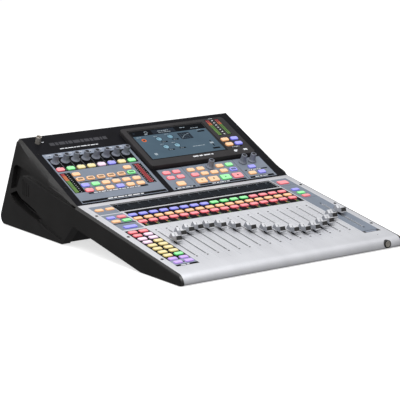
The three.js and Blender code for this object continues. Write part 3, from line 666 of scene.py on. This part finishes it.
KEY_ROWS = {}
for keypad, colours in KEY_COLOURS.items():
    key_deck = deck_of(keypad)
    key_top = BEZEL_TOP + KEY_TOP if keypad == "screen_keys" else KEY_TOP
    KEY_ROWS[keypad] = cap_boxes(keypad, key_deck, key_top)
    caps = Build()
    keypad_web(caps, keypad, key_deck)
    for row, letters in zip(KEY_ROWS[keypad], colours, strict=True):
        for box, letter in zip(row, letters, strict=True):
            key_cap(caps, key_deck, box, key_top, letter)
    for box, shape in zip(KEY_ROWS[keypad][0], KEY_SYMBOLS.get(keypad, [])):
        key_symbol(caps, key_deck, box, key_top, shape)
    caps.finish(keypad + "_silicone", keypad, [keypad])


def key_holes(names, lead):
    """Holes round the key caps, widened at the surface by the sheet's edge."""
    margin = KEY_CLEARANCE + lead
    return [rounded(x0 - margin, x1 + margin, y0 - margin, y1 + margin, CAP_CORNER + margin)
            for name in names for row in KEY_ROWS[name] for x0, x1, y0, y1 in row]


def key_labels(rows, width, low, high, ink):
    """A bar over each key cap, in place of its label."""
    return [(rect((x0 + x1 - width) / 2, (x0 + x1 + width) / 2, y1 + low, y1 + high), ink)
            for row in rows for x0, x1, _, y1 in row]


# ---- knobs

RIBS, RIB_DEPTH, RIB_FOOT, RIB_TOP = 16, 0.28, 2.6, 14.8


def ribbed(angle, radius, height):
    """Shallow ribs round a knob's grip."""
    if radius < 4 or height < RIB_FOOT or height > RIB_TOP:
        return radius
    return radius - RIB_DEPTH * (0.5 + 0.5 * math.cos(angle * RIBS))


# (radius, height): the shaft, the skirt, the grip and the dished top.
KNOB_PROFILE = [(3.0, -9), (3.0, 0.6), (7.2, 0.6), (7.6, 1.0), (7.6, 1.9), (7.3, 2.3), (6.4, 3.2), (5.7, 4.6),
                (5.35, 6.5), (5.1, 11), (5.0, 14.6), (4.9, 15.5), (4.5, 16), (3.5, 16), (3.2, 15.7),
                (0.4, 15.7)]
KNOB_BANDS = ["zinc", "zinc"] + ["knob"] * 12 + ["knob_top", "knob_top", "knob_top"]

for node in KNOBS:
    knob = Build()
    lathe(knob, deck_place(UPPER, *centre_of(node, UPPER)), KNOB_PROFILE, KNOB_BANDS, 64, ribbed)
    knob.finish(node + "_cap", node, [node])

# ---- faders

CAP_HALF, CAP_BASE, CAP_TOP, CAP_WAIST = 11.0, 5.0, 14.2, 10.6
LEVER_HALF_WIDTH = 0.6
CAP_HALF_WIDTH = 5.7


def cap_line():
    """The top line of a fader cap along its length, as (along, height)."""
    rise = [(-CAP_HALF, CAP_BASE + 0.8), (-CAP_HALF, 7.2), (-10.7, 8.0), (-8.35, 13.3), (-7.9, 13.95),
            (-7.2, CAP_TOP), (-6.4, 14.1)]
    scoop = [(-5.4 + 1.08 * i, 0) for i in range(11)]
    hollow = [(a, CAP_WAIST + (13.9 - CAP_WAIST) * (abs(a) / 5.4) ** 1.7) for a, _ in scoop]
    return rise + hollow + [(-a, h) for a, h in reversed(rise)]


def cap_section(at, along, height):
    """Across a fader cap: upright sides that lean in a little, and rounded shoulders."""
    top = CAP_HALF_WIDTH - 0.055 * (height - CAP_BASE)
    side = [(-CAP_HALF_WIDTH + 0.3, CAP_BASE), (-CAP_HALF_WIDTH, CAP_BASE + 0.4), (-top - 0.02, height - 0.9),
            (-top + 0.25, height - 0.27), (-top + 0.9, height), (-1.0, height), (-0.45, height)]
    full = side + [(-x, h) for x, h in reversed(side)]
    return [at(x, along, h) for x, h in full]


def fader_cap(build, at):
    """A cap with dark steep ends, a pale top and a dark line down its middle; its sides and flat ends are the
    top's silver painted darker, as painted shade.
    """
    stations = cap_line()
    sections = [cap_section(at, along, height) for along, height in stations]
    count = len(sections[0])
    points = [p for section in sections for p in section]
    faces, names = [], []
    for s, ((a0, h0), (a1, h1)) in enumerate(zip(stations, stations[1:])):
        steep = abs(h1 - h0) > abs(a1 - a0) * 1.2 and h0 + h1 > 15.3
        middle = abs(a0 + a1) / 2
        for i in range(count):
            j = (i + 1) % count
            faces.append((s * count + i, (s + 1) * count + i, (s + 1) * count + j, s * count + j))
            on_line = i == count // 2 - 1 and middle < 4.5
            # The sides and the flat ends are painted darker as shade; a band across the middle of the scoop
            # takes the same darker tone.
            if not 3 <= i <= count - 5:
                names.append("cap_shaded")
            elif steep or on_line:
                names.append("cap_end")
            else:
                names.append("cap_shaded" if middle < 1.15 else "cap")
    faces.append(tuple(range(count)))
    faces.append(tuple(reversed([(len(sections) - 1) * count + i for i in range(count)])))
    names += ["cap_shaded", "cap_shaded"]
    build.add(points, faces, names)


def lever(build, at):
    """The flat steel lever that passes down through the slot."""
    rings = []
    for inset, height in ((0.2, -11), (0, -10.6), (0, CAP_BASE + 0.3)):
        half, reach = LEVER_HALF_WIDTH - inset, 3.5 - inset
        rings.append([at(x, y, height) for x, y in rounded(-half, half, -reach, reach, 0.25)])
    build.rings(rings, "screw")


for node in FADERS:
    place = deck_place(LOWER, *centre_of(node, LOWER))
    fader = Build()
    fader_cap(fader, place)
    lever(fader, place)
    fader.finish(node + "_cap", node, [node])

# ---- fader panel


TRAVEL = 100.0
SCALE_STEPS, ZERO_STEP, SCALE_REACH = 10, 3, 6.6


def channel_prints(x):
    """The scale beside one channel's slot and the hairline between channels."""
    marks = []
    for i in range(SCALE_STEPS + 1):
        y = -SLOT_CENTRE + TRAVEL * (0.5 - i / SCALE_STEPS)
        length, half, ink = (4.2, 0.3, "cap_end") if i == ZERO_STEP else (2.2, 0.2, "grey")
        marks += fields(ink, (x - SCALE_REACH, x - SCALE_REACH + length, y - half, y + half),
                        (x + SCALE_REACH - length, x + SCALE_REACH, y - half, y + half))
    return marks + fields("grey", (x + PITCH / 2 - 0.2, x + PITCH / 2 + 0.2, -277, -118))


def small_meter(x, top, step=3.5):
    """A four-segment level meter, red at the top."""
    marks = []
    for i, led in enumerate(["red_led", "orange_led", "green_led", "green_led"]):
        y = top - step * i
        marks += fields(led, (x - 2.6, x + 0.4, y - step + 0.8, y))
        marks += fields("grey", (x + 1.6, x + 3.0, y - step + 1.6, y - 0.7))
    return marks


def fader_panel_prints():
    # The left column: layer keys on slate, then on ink, with a pale field round the arrow keys.
    prints = fields("slate", (-201.5, -161.5, -50, -13), (-201.5, -160.2, -121, -53))
    prints += fields("ink", (-201.5, -158.4, -94.5, -91.5), (-178.5, -160.2, -77.2, -74.4),
                     (-201.5, -160.2, -256, -126))
    prints += fields("slate_pale", (-201.5, -160.2, -274.5, -256))
    prints.append((circle(-180.8, -266.4, 2.2, 12), "ink"))
    # Its lettered foot, the surround of the displays, and the ground of the channel keys.
    prints += fields("ink", (-201.5, -160.2, -280.5, -274.5), (-160.5, 165.8, -47, -12.5),
                     (-155.8, 165.5, -118, -50.5))
    # The main fader's column, with its label at the foot.
    prints += fields("slate", (168, 202, -279, -13)) + fields("title", (168, 202, -279, -271.5))
    prints += fields("slate_pale", (173, 195, -277.6, -273))
    prints += fields("ink", (168, 202, -45.5, -45), (168, 202, -107.5, -107))
    prints += words(-193, -278.9, 26, 2.4)
    for x in CHANNEL_X:
        prints += channel_prints(x)
        prints += small_meter(x + 0.6, -104.2)
    prints += [mark for mark in channel_prints(MAIN_FADER_X) if mark[0][0][0] < MAIN_FADER_X + 7]
    for name in ("select_keys", "solo_keys", "mute_keys"):
        prints += key_labels(KEY_ROWS[name], 6, 1.1, 2.0, "grey")
    return prints


# The lip under the nose: (back from the front, up from its underside).
LIP_STEPS = [(6.4, 0), (1.6, 0), (0.5, 0.5)]


def nose_line():
    """The panel's outer line in (up, height), from under its front lip to the crease."""
    centre = (-FADER_PANEL_LENGTH, -NOSE_RADIUS)
    slope = math.degrees(FADER_SLOPE)
    round_nose = arc(*centre, NOSE_RADIUS, 180 - slope, 90, 16)
    front = LOWER.at(0, *round_nose[0])
    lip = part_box("fader_panel")[0].z
    corner = [Vector((0, front.y + back * MM, lip + rise * MM)) for back, rise in LIP_STEPS]
    return [LOWER.of(p)[1:] for p in corner] + round_nose + [(-GAP, 0)]


nose_points = nose_line()
nose_length = sum((Vector(b) - Vector(a)).length for a, b in zip(nose_points, nose_points[1:]))
nose = Fold(LOWER, nose_points, -GAP - nose_length)
EDGE = 0.25
SHEET_EDGE = [(EDGE * 0.3, EDGE * 0.06), (EDGE, EDGE), (EDGE, SHEET)]

jack_low, jack_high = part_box("headphone_jack")
JACK_X = (jack_low.x + jack_high.x) / 2 / MM
jack_front = [v.co for v in frame["nodes"]["headphone_jack"].data.vertices if v.co.y < jack_low.y + 1e-5]
JACK_Z = (min(p.z for p in jack_front) + max(p.z for p in jack_front)) / 2
jack_mark = nose.marks[3] + (JACK_Z - LOWER.at(0, *nose_points[3]).z) / MM

slot_edge = SLOT_WIDTH / 2 + EDGE
slot_holes = [
    rounded(x - slot_edge, x + slot_edge, -SLOT_CENTRE - SLOT_LENGTH / 2 - EDGE,
            -SLOT_CENTRE + SLOT_LENGTH / 2 + EDGE, slot_edge - 0.05)
    for x in SLOT_X
]
strip_hole = [rect(STRIP_X[0] - EDGE, STRIP_X[1] + EDGE, STRIP_Y[0] - EDGE, STRIP_Y[1] + EDGE)]
lower_holes = slot_holes + strip_hole + [circle(JACK_X, jack_mark, 6.8 + EDGE, 28)]
lower_holes += key_holes(["select_keys", "solo_keys", "mute_keys", "layer_keys", "main_keys"], EDGE)
cut_sheet(
    "fader_panel_sheet", "console", nose.at,
    rect(-HALF_PANEL + EDGE, HALF_PANEL - EDGE, nose.marks[0] + EDGE, -GAP - EDGE),
    lower_holes, fader_panel_prints(), "silver", SHEET_EDGE, nose.marks[1:-1],
    ["fader_panel"],
)

# ---- upper panel


def meter_column(x, top, bottom, segments, width, colours):
    """A column of lamps; colours lists (share of the column from the top, lamp)."""
    marks = []
    step = (top - bottom) / segments
    for i in range(segments):
        share = (i + 0.5) / segments
        lamp = next(name for limit, name in colours if share <= limit)
        y = top - step * i
        marks += fields(lamp, (x - width / 2, x + width / 2, y - step * 0.82, y))
    return marks


MIXED_LAMPS = [(0.14, "red_led"), (0.36, "orange_led"), (1.0, "green_led")]


def ticks(x, top, bottom, count, length):
    step = (top - bottom) / (count - 1)
    levels = [top - step * i for i in range(count)]
    return fields("white", *[(x, x + length, y - 0.3, y + 0.3) for y in levels])


def upper_panel_prints():
    # The left section: its field, the encoders' bank, and the lettered foot.
    prints = fields("slate", (-201.5, -33, 4, 150.5))
    prints += fields("slate_pale", (-201.5, -33, 138.5, 150.5))
    prints += fields("ink", (-198.5, -38, 97, 138), (-200, -34.5, 5.5, 11.5))
    # Meter windows, and the bands under the processing keys.
    prints += fields("window", (-199, -178.8, 34, 92.5), (-56, -38, 34, 92.5))
    prints += fields("ink", (-176, -126, 60.4, 62.8), (-111, -60, 60.4, 62.8), (-176, -59, 27.4, 31.4),
                     (-176, -60, 44, 45))
    # The right section: its field, two dividers, and the lettered bands under each group of keys.
    prints += fields("slate", (-21.5, 196, 4, 64.5))
    prints += fields("ink", (28.7, 29.3, 4, 64.5), (136.7, 137.3, 4, 64.5), (-16, 25, 5.5, 10.2),
                     (34, 132, 5.5, 9.8), (141, 192, 5.5, 10.6), (143, 191, 27.6, 30.6))
    for row in ((-150, 7.2, 74, 2.6), (-12, 6.7, 33, 2.2), (60, 6.6, 46, 2.0), (152, 7.0, 28, 2.2),
                (148, 28.3, 34, 1.6), (-166, 28.4, 100, 2.0), (-124, 61.0, 11, 1.6)):
        prints += words(*row)
    for x in ENCODER_X:
        prints += fields("ink", (x - 0.9, x + 0.9, 142, 144))
        prints += fields("white", (x - 5.5, x + 5.5, 146.2, 147.2), (x - 3, x + 3, 109.4, 110.4))
    for x in ENCODER_X[:-1]:
        prints.append((line(x + PITCH / 2, 99, x + PITCH / 2, 136, 0.35), "grey"))
    prints += meter_column(-194, 91, 35.5, 16, 7, MIXED_LAMPS)
    for x in (-49.6, -45.2):
        prints += meter_column(x, 91, 35.5, 16, 3.8, [(1.0, "red_led")])
    for x, length in ((-187.5, 2.4), (-54.4, 1.8), (-42.4, 1.8)):
        prints += ticks(x, 90.5, 36, 12, length)
    prints += key_labels(KEY_ROWS["processing_keys"] + KEY_ROWS["session_keys"][:2], 5.2, 1.2, 2.0, "white")
    # Beside the lamp socket, and the title over the encoders.
    prints += fields("white", (-183.5, -178.5, 185.6, 187.2))
    return prints + words(-172, 173, 118, 8.5, "title", 0.22) + words(-160, 160.4, 80, 2.2)


KNOB_HOLE, LAMP_HOLE = 4.4, 5.15

corner = arc(UPPER_REAR - TOP_CORNER_RADIUS, -TOP_CORNER_RADIUS, TOP_CORNER_RADIUS, 90, 0, 10)
rear = Fold(UPPER, [(GAP, 0), *corner, (UPPER_REAR, -REAR_FLANGE)], GAP)
upper_keys = ["parameter_keys", "processing_keys", "session_keys", "transport_keys", "monitor_keys",
              "screen_keys"]
upper_holes = key_holes(upper_keys, EDGE)
upper_holes += [circle(*centre_of(knob, UPPER), KNOB_HOLE + EDGE, 20) for knob in KNOBS]
upper_holes.append(rect(SCREEN_X[0] - 1, SCREEN_X[1] + 1, SCREEN_Y[0] - 1, SCREEN_Y[1] + 1))
upper_holes.append(circle(*centre_of("lamp_socket", UPPER), LAMP_HOLE + EDGE, 24))
cut_sheet(
    "upper_panel_sheet", "console", rear.at,
    rect(-HALF_PANEL + EDGE, HALF_PANEL - EDGE, GAP + EDGE, rear.marks[-1] - EDGE),
    upper_holes, upper_panel_prints(), "black", SHEET_EDGE, rear.marks[1:-1], ["upper_panel"],
)

# ---- screen module


def bezel_prints():
    # Two level meters, the screen's dark rim, and the band under the screen's keys.
    prints = fields("window", (148.6, 156.8, 129, 180), (168.8, 177, 129, 180))
    prints += fields("ink", (SCREEN_X[0] - 3, SCREEN_X[1] + 3, SCREEN_Y[0] - 3, SCREEN_Y[1] + 3),
                     (150, 175, 90.0, 92.6))
    for x in (152.7, 172.9):
        prints += meter_column(x - 1.9, 178.5, 130.5, 18, 3.1, MIXED_LAMPS)
        prints += meter_column(x + 1.9, 178.5, 130.5, 18, 3.1, MIXED_LAMPS)
    for i in range(7):
        prints += fields("white", (161.4, 164.4, 174.9 - 7.2 * i, 177.1 - 7.2 * i))
    prints += words(158.5, 182, 9, 1.2) + words(153, 90.8, 18, 1.1) + words(62, 77.6, 44, 3.0)
    prints += key_labels(KEY_ROWS["screen_keys"], 5, 1.1, 1.9, "grey")
    # Two small white signs at the lower right corner.
    prints += [(circle(152.6, 79.2, 3.2, 16), "white"), (rounded(170.4, 178.2, 77.2, 82.2, 1.0), "white")]
    return prints + fields("white", (154.0, 157.6, 79.6, 82.0)) + fields("bezel", (173.6, 175.0, 76.0, 78.6))


BEVEL = 1.1
bezel_edge = [(BEVEL * math.sin(a), BEVEL * (1 - math.cos(a))) for a in (0.4, 0.8, 1.2, math.pi / 2)]
bezel_holes = [rect(SCREEN_X[0] - 0.4 - BEVEL, SCREEN_X[1] + 0.4 + BEVEL, SCREEN_Y[0] - 0.4 - BEVEL,
                    SCREEN_Y[1] + 0.4 + BEVEL)]
bezel_holes += key_holes(["screen_keys"], BEVEL)
cut_sheet(
    "screen_bezel_frame", "console", lambda x, y, h: UPPER.at(x, y, BEZEL_TOP + h),
    rounded(BEZEL_X[0] + BEVEL, BEZEL_X[1] - BEVEL, BEZEL_Y[0] + BEVEL, BEZEL_Y[1] - BEVEL,
            BEZEL_CORNER - BEVEL, 8),
    bezel_holes, bezel_prints(), "bezel", [*bezel_edge, (BEVEL, BEZEL_TOP - GAP)], (),
    ["screen_bezel"],
)


def screen_prints():
    """The page on the touchscreen: a header, a gate's four knobs with their values, a graph and a slider.

    Places are counted from the screen's upper left corner."""
    left, top = SCREEN_X[0], SCREEN_Y[1]
    width, height = SCREEN_X[1] - left, top - SCREEN_Y[0]
    prints = fields("page", (0, width, -height, 0)) + fields("page_dark", (0, width, -15.5, 0))
    prints += fields("page_box", (44, 92, -14, -1.6), (5, 9, -8, -4.6))
    prints += fields("page_light", (26, 32, -13.4, -11.6))
    prints += [
        (circle(32, -6.4, 3.4, 16), "page_light"),
        (circle(32, -6.4, 2.5, 16), "page_dark"),
        (circle(15.5, -29, 4.6, 20), "page_orange"),
        (rounded(13.6, 17.6, -31.2, -27.2, 1.0), "page_box"),
        (rounded(12, 18, -75.4, -69.4, 1.0), "page_light"),
        (rounded(89, 114, -40, -20, 1.5), "page_box"),
        (line(91, -37, 101, -28, 0.8), "page_light"),
        (line(101, -28, 112, -24, 0.8), "page_light"),
        (rounded(132, 147, -24.5, -20.4, 0.8), "page_dark"),
        (rounded(132, 147, -79.3, -74.9, 0.8), "page_dark"),
        (rect(138.4, 140.6, -70.9, -52.9), "page_dark"),
        (rounded(135.8, 143.2, -62.9, -57.9, 0.8), "page_light"),
    ]
    prints += fields("page", *[(92.5 + 5 * i, 93 + 5 * i, -38.4, -21.6) for i in range(4)],
                     *[(90.5, 112.5, 5 * i - 36.5, 5 * i - 36.1) for i in range(3)])
    lettering = [(56, -7.4, 24, 1.6), (56, -12, 30, 1.4), (104, -6, 16, 1.6), (124, -11, 18, 1.4),
                 (97, -64.9, 26, 1.4), (133, -18.4, 12, 1.2), (5, -20, 10, 1.4)]
    for x, y in ((46, -30), (71, -27), (46, -55), (70, -54)):
        prints.append((circle(x, y, 6.2, 24), "page_box"))
        prints.append((circle(x, y, 5.2, 24), "page_blue"))
        prints.append((line(x, y + 0.5, x - 2.4, y + 4.2, 1.0), "page_dark"))
        prints.append((rounded(x - 1.0, x + 12.5, y - 11.6, y - 8.2, 0.6), "page_dark"))
        lettering += [(x + 1, y - 10.6, 9, 1.0), (x - 7, y + 8, 10, 1.1)]
    for row in lettering:
        prints += words(*row, "page_light")
    return [([(left + x, top + y) for x, y in shape], ink) for shape, ink in prints]


def glass_sheet(name, deck, node, prints):
    """A flat display under glass that takes the place of a CAD node."""
    low, high = extent(node, deck)
    cut_sheet(
        name, "console", lambda x, y, h: deck.at(x, y, high[2] + h),
        rect(low[0] + EDGE, high[0] - EDGE, low[1] + EDGE, high[1] - EDGE), [], prints, "window",
        [(EDGE, EDGE), (EDGE, high[2] - low[2])], (), [node],
    )


glass_sheet("touchscreen_page", UPPER, "touchscreen", screen_prints())


def strip_prints():
    """Sixteen small displays: a pan mark, a name and a level line on each."""
    prints = []
    for x in CHANNEL_X:
        prints += fields("lcd", (x - 8.9, x + 8.9, -42, -18))
        prints.append((circle(x - 0.2, -20.8, 1.0, 10), "lcd_mark"))
        prints.append((line(x - 3.4, -23.6, x + 0.2, -27.2, 0.6), "lcd_mark"))
        prints.append((line(x + 0.6, -27.2, x + 3.8, -23.6, 0.6), "page_box"))
        prints += fields("page_box", (x + 9.7, x + 10.5, -43, -17), (x - 6.4, x - 2.4, -31.4, -30.6),
                         (x - 0.6, x + 6.2, -31.4, -30.6), (x - 6.0, x + 3.6, -38.6, -37.4))
    return prints


glass_sheet("channel_display_glass", LOWER, "channel_display_strip", strip_prints())

# ---- screws


def screw_head(build, at, radius, height=0.6):
    """A domed screw head with a six-lobed recess, on the panel's surface."""
    def lobed(angle, r, h):
        return r * (1 + 0.12 * math.cos(6 * angle)) if r < radius * 0.6 else r

    profile = [(radius, -0.6), (radius, height * 0.3), (radius * 0.9, height * 0.8), (radius * 0.6, height),
               (radius * 0.5, height), (radius * 0.46, 0.06), (0.1, 0.05)]
    lathe(build, at, profile, "screw", 24, lobed)


# The screws along both side edges: (deck, away from the middle, up the deck, head radius).
EDGE_SCREWS = [(LOWER, 207.5, (-50.5, -148, -247), 2.6), (UPPER, 208, (153, 52), 2.3)]
# Each fader hangs on two screws, this far from the middle of its slot.
FADER_SCREW_REACH = 59.0

panel_screws = Build()
for deck, away, ups, radius in EDGE_SCREWS:
    for side in (-1, 1):
        for up in ups:
            screw_head(panel_screws, deck_place(deck, side * away, up), radius)
panel_screws.finish("panel_screws", "console")

fader_screws = Build()
for x in SLOT_X:
    for reach in (FADER_SCREW_REACH, -FADER_SCREW_REACH):
        screw_head(fader_screws, deck_place(LOWER, x, -SLOT_CENTRE + reach), 1.6, 0.35)
screw_head(fader_screws, deck_place(LOWER, MAIN_FADER_X, -293), 0.9, 0.2)
fader_screws.finish("fader_fixing_screws", "console")

# Felt strips under the slots, each with a slit for the lever.
FELT_TOP, FELT_THICKNESS, FELT_HALF, SLIT_HALF = -SHEET - 0.15, 0.4, 4.5, 0.8
slot_reach = SLOT_LENGTH / 2
felt_reach = slot_reach + 2
for i, x in enumerate(SLOT_X):
    cut_sheet(
        f"slot_felt_{i + 1}", "console", lambda across, up, h: LOWER.at(across, up, FELT_TOP + h),
        rect(x - FELT_HALF, x + FELT_HALF, -SLOT_CENTRE - felt_reach, -SLOT_CENTRE + felt_reach),
        [rect(x - SLIT_HALF, x + SLIT_HALF, -SLOT_CENTRE - slot_reach, -SLOT_CENTRE + slot_reach)],
        [], "felt", [(0.05, FELT_THICKNESS)], (),
    )

# ---- hand recesses, headphone jack

# A near-black sheet of painted shade on the floor of each hand recess; its outline is (away, up) from the
# crease.
RECESS_SHADE = [(132, -43.4), (168, -34.8), (199, -25.8), (212, -21.2), (216, -14), (197, -6), (190.5, -10.7),
          (179.5, -17.5), (160.3, -22.1), (134, -30.2), (119, -38.6)]
RECESS_SHADE_X = 205.95
for name, side in (("left_handhold_shade_sheet", -1), ("right_handhold_shade_sheet", 1)):
    shade_sheet = Build()
    outline = RECESS_SHADE if side < 0 else RECESS_SHADE[::-1]
    # The sheet takes the slot felt's near-black tone, here as painted shade.
    shade_sheet.rings([[CREASE + Vector((side * (RECESS_SHADE_X + rise), y, z)) * MM for y, z in outline]
                  for rise in (0.02, 0.5)], "felt")
    shade_sheet.finish(name, "console")

jack_face = jack_low.y / MM


def jack_at(dx, dz, out):
    return Vector((JACK_X + dx, jack_face - out, JACK_Z / MM + dz)) * MM


jack_ring = Build()
JACK_RING = [(3.4, -1.2), (5.0, -1.2), (5.0, 0.1), (4.7, 0.3), (3.8, 0.3), (3.5, 0.1)]
lathe(jack_ring, jack_at, JACK_RING, "nickel", 32)
jack_ring.finish("headphone_jack_ring", "console")

# ---- rear connectors

REAR_FACE = UPPER_REAR - 1.0
ROW_HEIGHTS = (-42.0, -76.0)
SOCKET_PITCH = 30.0
SOCKET_RADIUS = 9.4


def rear_at(x, height, out):
    """A place on the rear panel, seen from behind: x to the right, out towards the viewer."""
    return UPPER.at(-x, REAR_FACE + out, height)


def rear_place(x, height):
    return lambda dx, dz, out: rear_at(x + dx, height + dz, out)


# (radius, out from the rear panel) of a socket's body and of one contact.
SOCKET_BODY = [(8.9, -12.8), (8.9, -11.2), (7.6, -11.2), (7.6, -4.6), (7.2, -4.2), (1.0, -4.2)]
SOCKET_CONTACT = [(1.3, -4.4), (1.3, -4.0), (1.0, -3.8), (0.5, -3.8), (0.4, -4.1)]
CONTACT_CIRCLE = 4.0


def round_sockets(name, x0, x1, first_x, count, pins):
    """A faceplate with a row of round sockets, each with a body, contacts and a latch."""
    centres = [first_x + SOCKET_PITCH * i for i in range(count)]
    for row_number, height in enumerate(ROW_HEIGHTS):
        cut_sheet(
            f"{name}_faceplate_{row_number + 1}", "console", lambda x, z, out: rear_at(x, z, out - 0.6),
            rect(x0 + 0.3, x1 - 0.3, height - 10.2, height + 10.2),
            [circle(x, height, SOCKET_RADIUS, 28) for x in centres],
            [], "socket", [(0.1, 0.25), (0.25, 11.9)], (),
        )
        sockets = Build()
        for x in centres:
            lathe(sockets, rear_place(x, height), SOCKET_BODY, "socket", 28)
            for i in range(pins):
                angle = math.radians(90 + 360 / pins * i)
                dx, dz = CONTACT_CIRCLE * math.cos(angle), CONTACT_CIRCLE * math.sin(angle)
                lathe(sockets, rear_place(x + dx, height + dz), SOCKET_CONTACT, "gold", 12)
            tab = rounded(x - 2.2, x + 2.2, height + 7.7, height + 9.2, 0.5)
            sockets.rings([[rear_at(px, pz, out) for px, pz in tab] for out in (-11, -0.9)], "zinc")
        sockets.finish(f"{name}_contacts_{row_number + 1}", "console")


round_sockets("input", -40.5, 190.5, -30, 8, 3)
round_sockets("output", -138.5, -57.5, -128, 3, 3)

# The mains inlet's two blades, and the eight contacts of each digital port.
BLADES_X, PORTS_X, CONTACT_STEP = (-135, -121), (124, 150), 1.02
bars = [(rect(x - 1, x + 1, -138.5, -132.5), (-20.3, -5.5), "nickel") for x in BLADES_X]
for port in PORTS_X:
    for i in range(8):
        x = port - 3.6 + CONTACT_STEP * i
        bars.append((rect(x - 0.25, x + 0.25, -127.8, -127.0), (-12.6, -3), "gold"))
rear_metal = Build()
for outline, depths, metal in bars:
    rear_metal.rings([[rear_at(x, z, out) for x, z in outline] for out in depths], metal)
rear_metal.finish("rear_contacts", "console")

# ---- carried-over CAD pieces

CAD_LOOKS = {
    "left_cheek": ("cheek", 0.9),
    "right_cheek": ("cheek", 0.9),
    "chassis_tray": ("steel", 0.3),
    "rear_panel": ("steel", 0.3),
    "lamp_socket": ("nickel", 0.25),
    "headphone_jack": ("socket", 0.3),
    "input_sockets": ("socket", 0.4),
    "output_sockets": ("socket", 0.4),
    "digital_ports": ("zinc", 0.25),
    "power_inlet": ("socket", 0.4),
    "power_rocker": ("socket", 0.5),
    "fader_board": ("board", 0.1),
    "main_board": ("board", 0.1),
    "power_supply": ("zinc", 0.4),
    "front_foot_strip": ("rubber", 0.4),
    "rear_foot_strip": ("rubber", 0.4),
}


def finish_cad(node, material, width):
    """Gives a CAD node its material and softens its edges, leaving its mesh as it is."""
    obj = frame["nodes"][node]
    for place in obj.material_slots:
        place.material = MATERIALS[material]
    weld = obj.modifiers.new("weld", "WELD")
    weld.merge_threshold = 0.00002
    flat = obj.modifiers.new("flat", "DECIMATE")
    flat.decimate_type = "DISSOLVE"
    flat.angle_limit = math.radians(0.5)
    bevel = obj.modifiers.new("bevel", "BEVEL")
    bevel.width = width * MM
    bevel.segments = 3
    bevel.limit_method = "ANGLE"
    bevel.angle_limit = math.radians(28)
    bevel.use_clamp_overlap = True
    normals = obj.modifiers.new("normals", "WEIGHTED_NORMAL")
    normals.weight = 80
    normals.keep_sharp = False


for cad_node, (look, soften) in CAD_LOOKS.items():
    finish_cad(cad_node, look, soften)

# ---- floor, light and camera


def ground_look():
    """A pale backdrop with a slight glow of its own, so that it stays even."""
    n = Nodes("pale_ground")
    clouds = n.noise(n.new("TexCoord").outputs["Object"], 3.0)
    colour = n.mixed(clouds, linear((250, 250, 250)), linear((253, 253, 253)))
    return n.finished({
        "Base Color": n.mixed(0.5, colour, linear(UNLIT)),
        "Roughness": 0.9,
        "Emission Color": colour,
        "Emission Strength": 0.7,
    })


FLOOR_REACH = 12.0
floor = bpy.data.meshes.new("floor")
floor.from_pydata([(*corner, 0) for corner in rect(-FLOOR_REACH, FLOOR_REACH, -FLOOR_REACH, FLOOR_REACH)], [],
                  [(0, 1, 2, 3)])
floor.materials.append(ground_look())
ground = bpy.data.objects.new("ground", floor)
bpy.context.scene.collection.objects.link(ground)
ground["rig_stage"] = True
ground.visible_diffuse = False
ground.visible_glossy = False

scene = bpy.context.scene
scene.view_settings.view_transform = "Standard"

# Brightness of the surroundings from straight down (0) to straight up (1): a dark room, a bright ceiling.
SKY = [(0.01, 0.12), (0.5, 0.09), (0.7, 0.25), (0.82, 0.7), (0.92, 0.9), (0.99, 1.0)]

world = bpy.data.worlds.new("studio")
world.use_nodes = True
sky = world.node_tree
direction = sky.nodes.new("ShaderNodeTexCoord")
height = sky.nodes.new("ShaderNodeSeparateXYZ")
ramp = sky.nodes.new("ShaderNodeValToRGB")
for position, level in SKY:
    stop = ramp.color_ramp.elements.new(position)
    stop.color = (level, level, level, 1)
shift = sky.nodes.new("ShaderNodeMapRange")
shift.inputs["From Min"].default_value = -1.0
sky.links.new(direction.outputs["Generated"], height.inputs["Vector"])
sky.links.new(height.outputs["Z"], shift.inputs["Value"])
sky.links.new(shift.outputs["Result"], ramp.inputs["Fac"])
sky.links.new(ramp.outputs["Color"], sky.nodes["Background"].inputs["Color"])
sky.nodes["Background"].inputs["Strength"].default_value = 1.0
scene.world = world


def softbox(name, position, size, power):
    """A square lamp that faces the console."""
    data = bpy.data.lights.new(name, "AREA")
    data.size = size
    data.energy = power
    lamp = bpy.data.objects.new(name, data)
    lamp.location = position
    lamp.rotation_mode = "QUATERNION"
    lamp.rotation_quaternion = (Vector((0, 0, 0.05)) - Vector(position)).to_track_quat("-Z", "Y")
    scene.collection.objects.link(lamp)


softbox("overhead", (-0.5, -0.9, 1.9), 1.5, 36)
softbox("front_left", (-1.6, -1.2, 0.9), 1.0, 7)
softbox("rear_left", (-1.3, 1.9, 0.75), 0.9, 8)

CAMERA_TARGET = Vector((2.994, -10.23, 61.5)) * MM
CAMERA_DISTANCE = 3134.885 * MM
CAMERA_AZIMUTH, CAMERA_ELEVATION, CAMERA_ROLL = -0.594, 0.206, -0.016
CAMERA_LENS = 167.08


def photo_camera():
    a, b, c = CAMERA_AZIMUTH, CAMERA_ELEVATION, CAMERA_ROLL
    back = Vector((math.sin(a) * math.cos(b), -math.cos(a) * math.cos(b), math.sin(b)))
    right = (-back).cross(Vector((0, 0, 1))).normalized()
    up = right.cross(-back)
    right, up = right * math.cos(c) + up * math.sin(c), up * math.cos(c) - right * math.sin(c)
    data = bpy.data.cameras.new("camera")
    data.lens = CAMERA_LENS
    data.sensor_width = 36
    data.clip_end = 50
    camera = bpy.data.objects.new("camera", data)
    basis = Matrix((right, up, back)).transposed().to_4x4()
    camera.matrix_world = Matrix.Translation(CAMERA_TARGET + back * CAMERA_DISTANCE) @ basis
    scene.collection.objects.link(camera)
    scene.camera = camera


photo_camera()

bounds_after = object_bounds()
[[list(corner) for corner in box] for box in (bounds_before, bounds_after)]
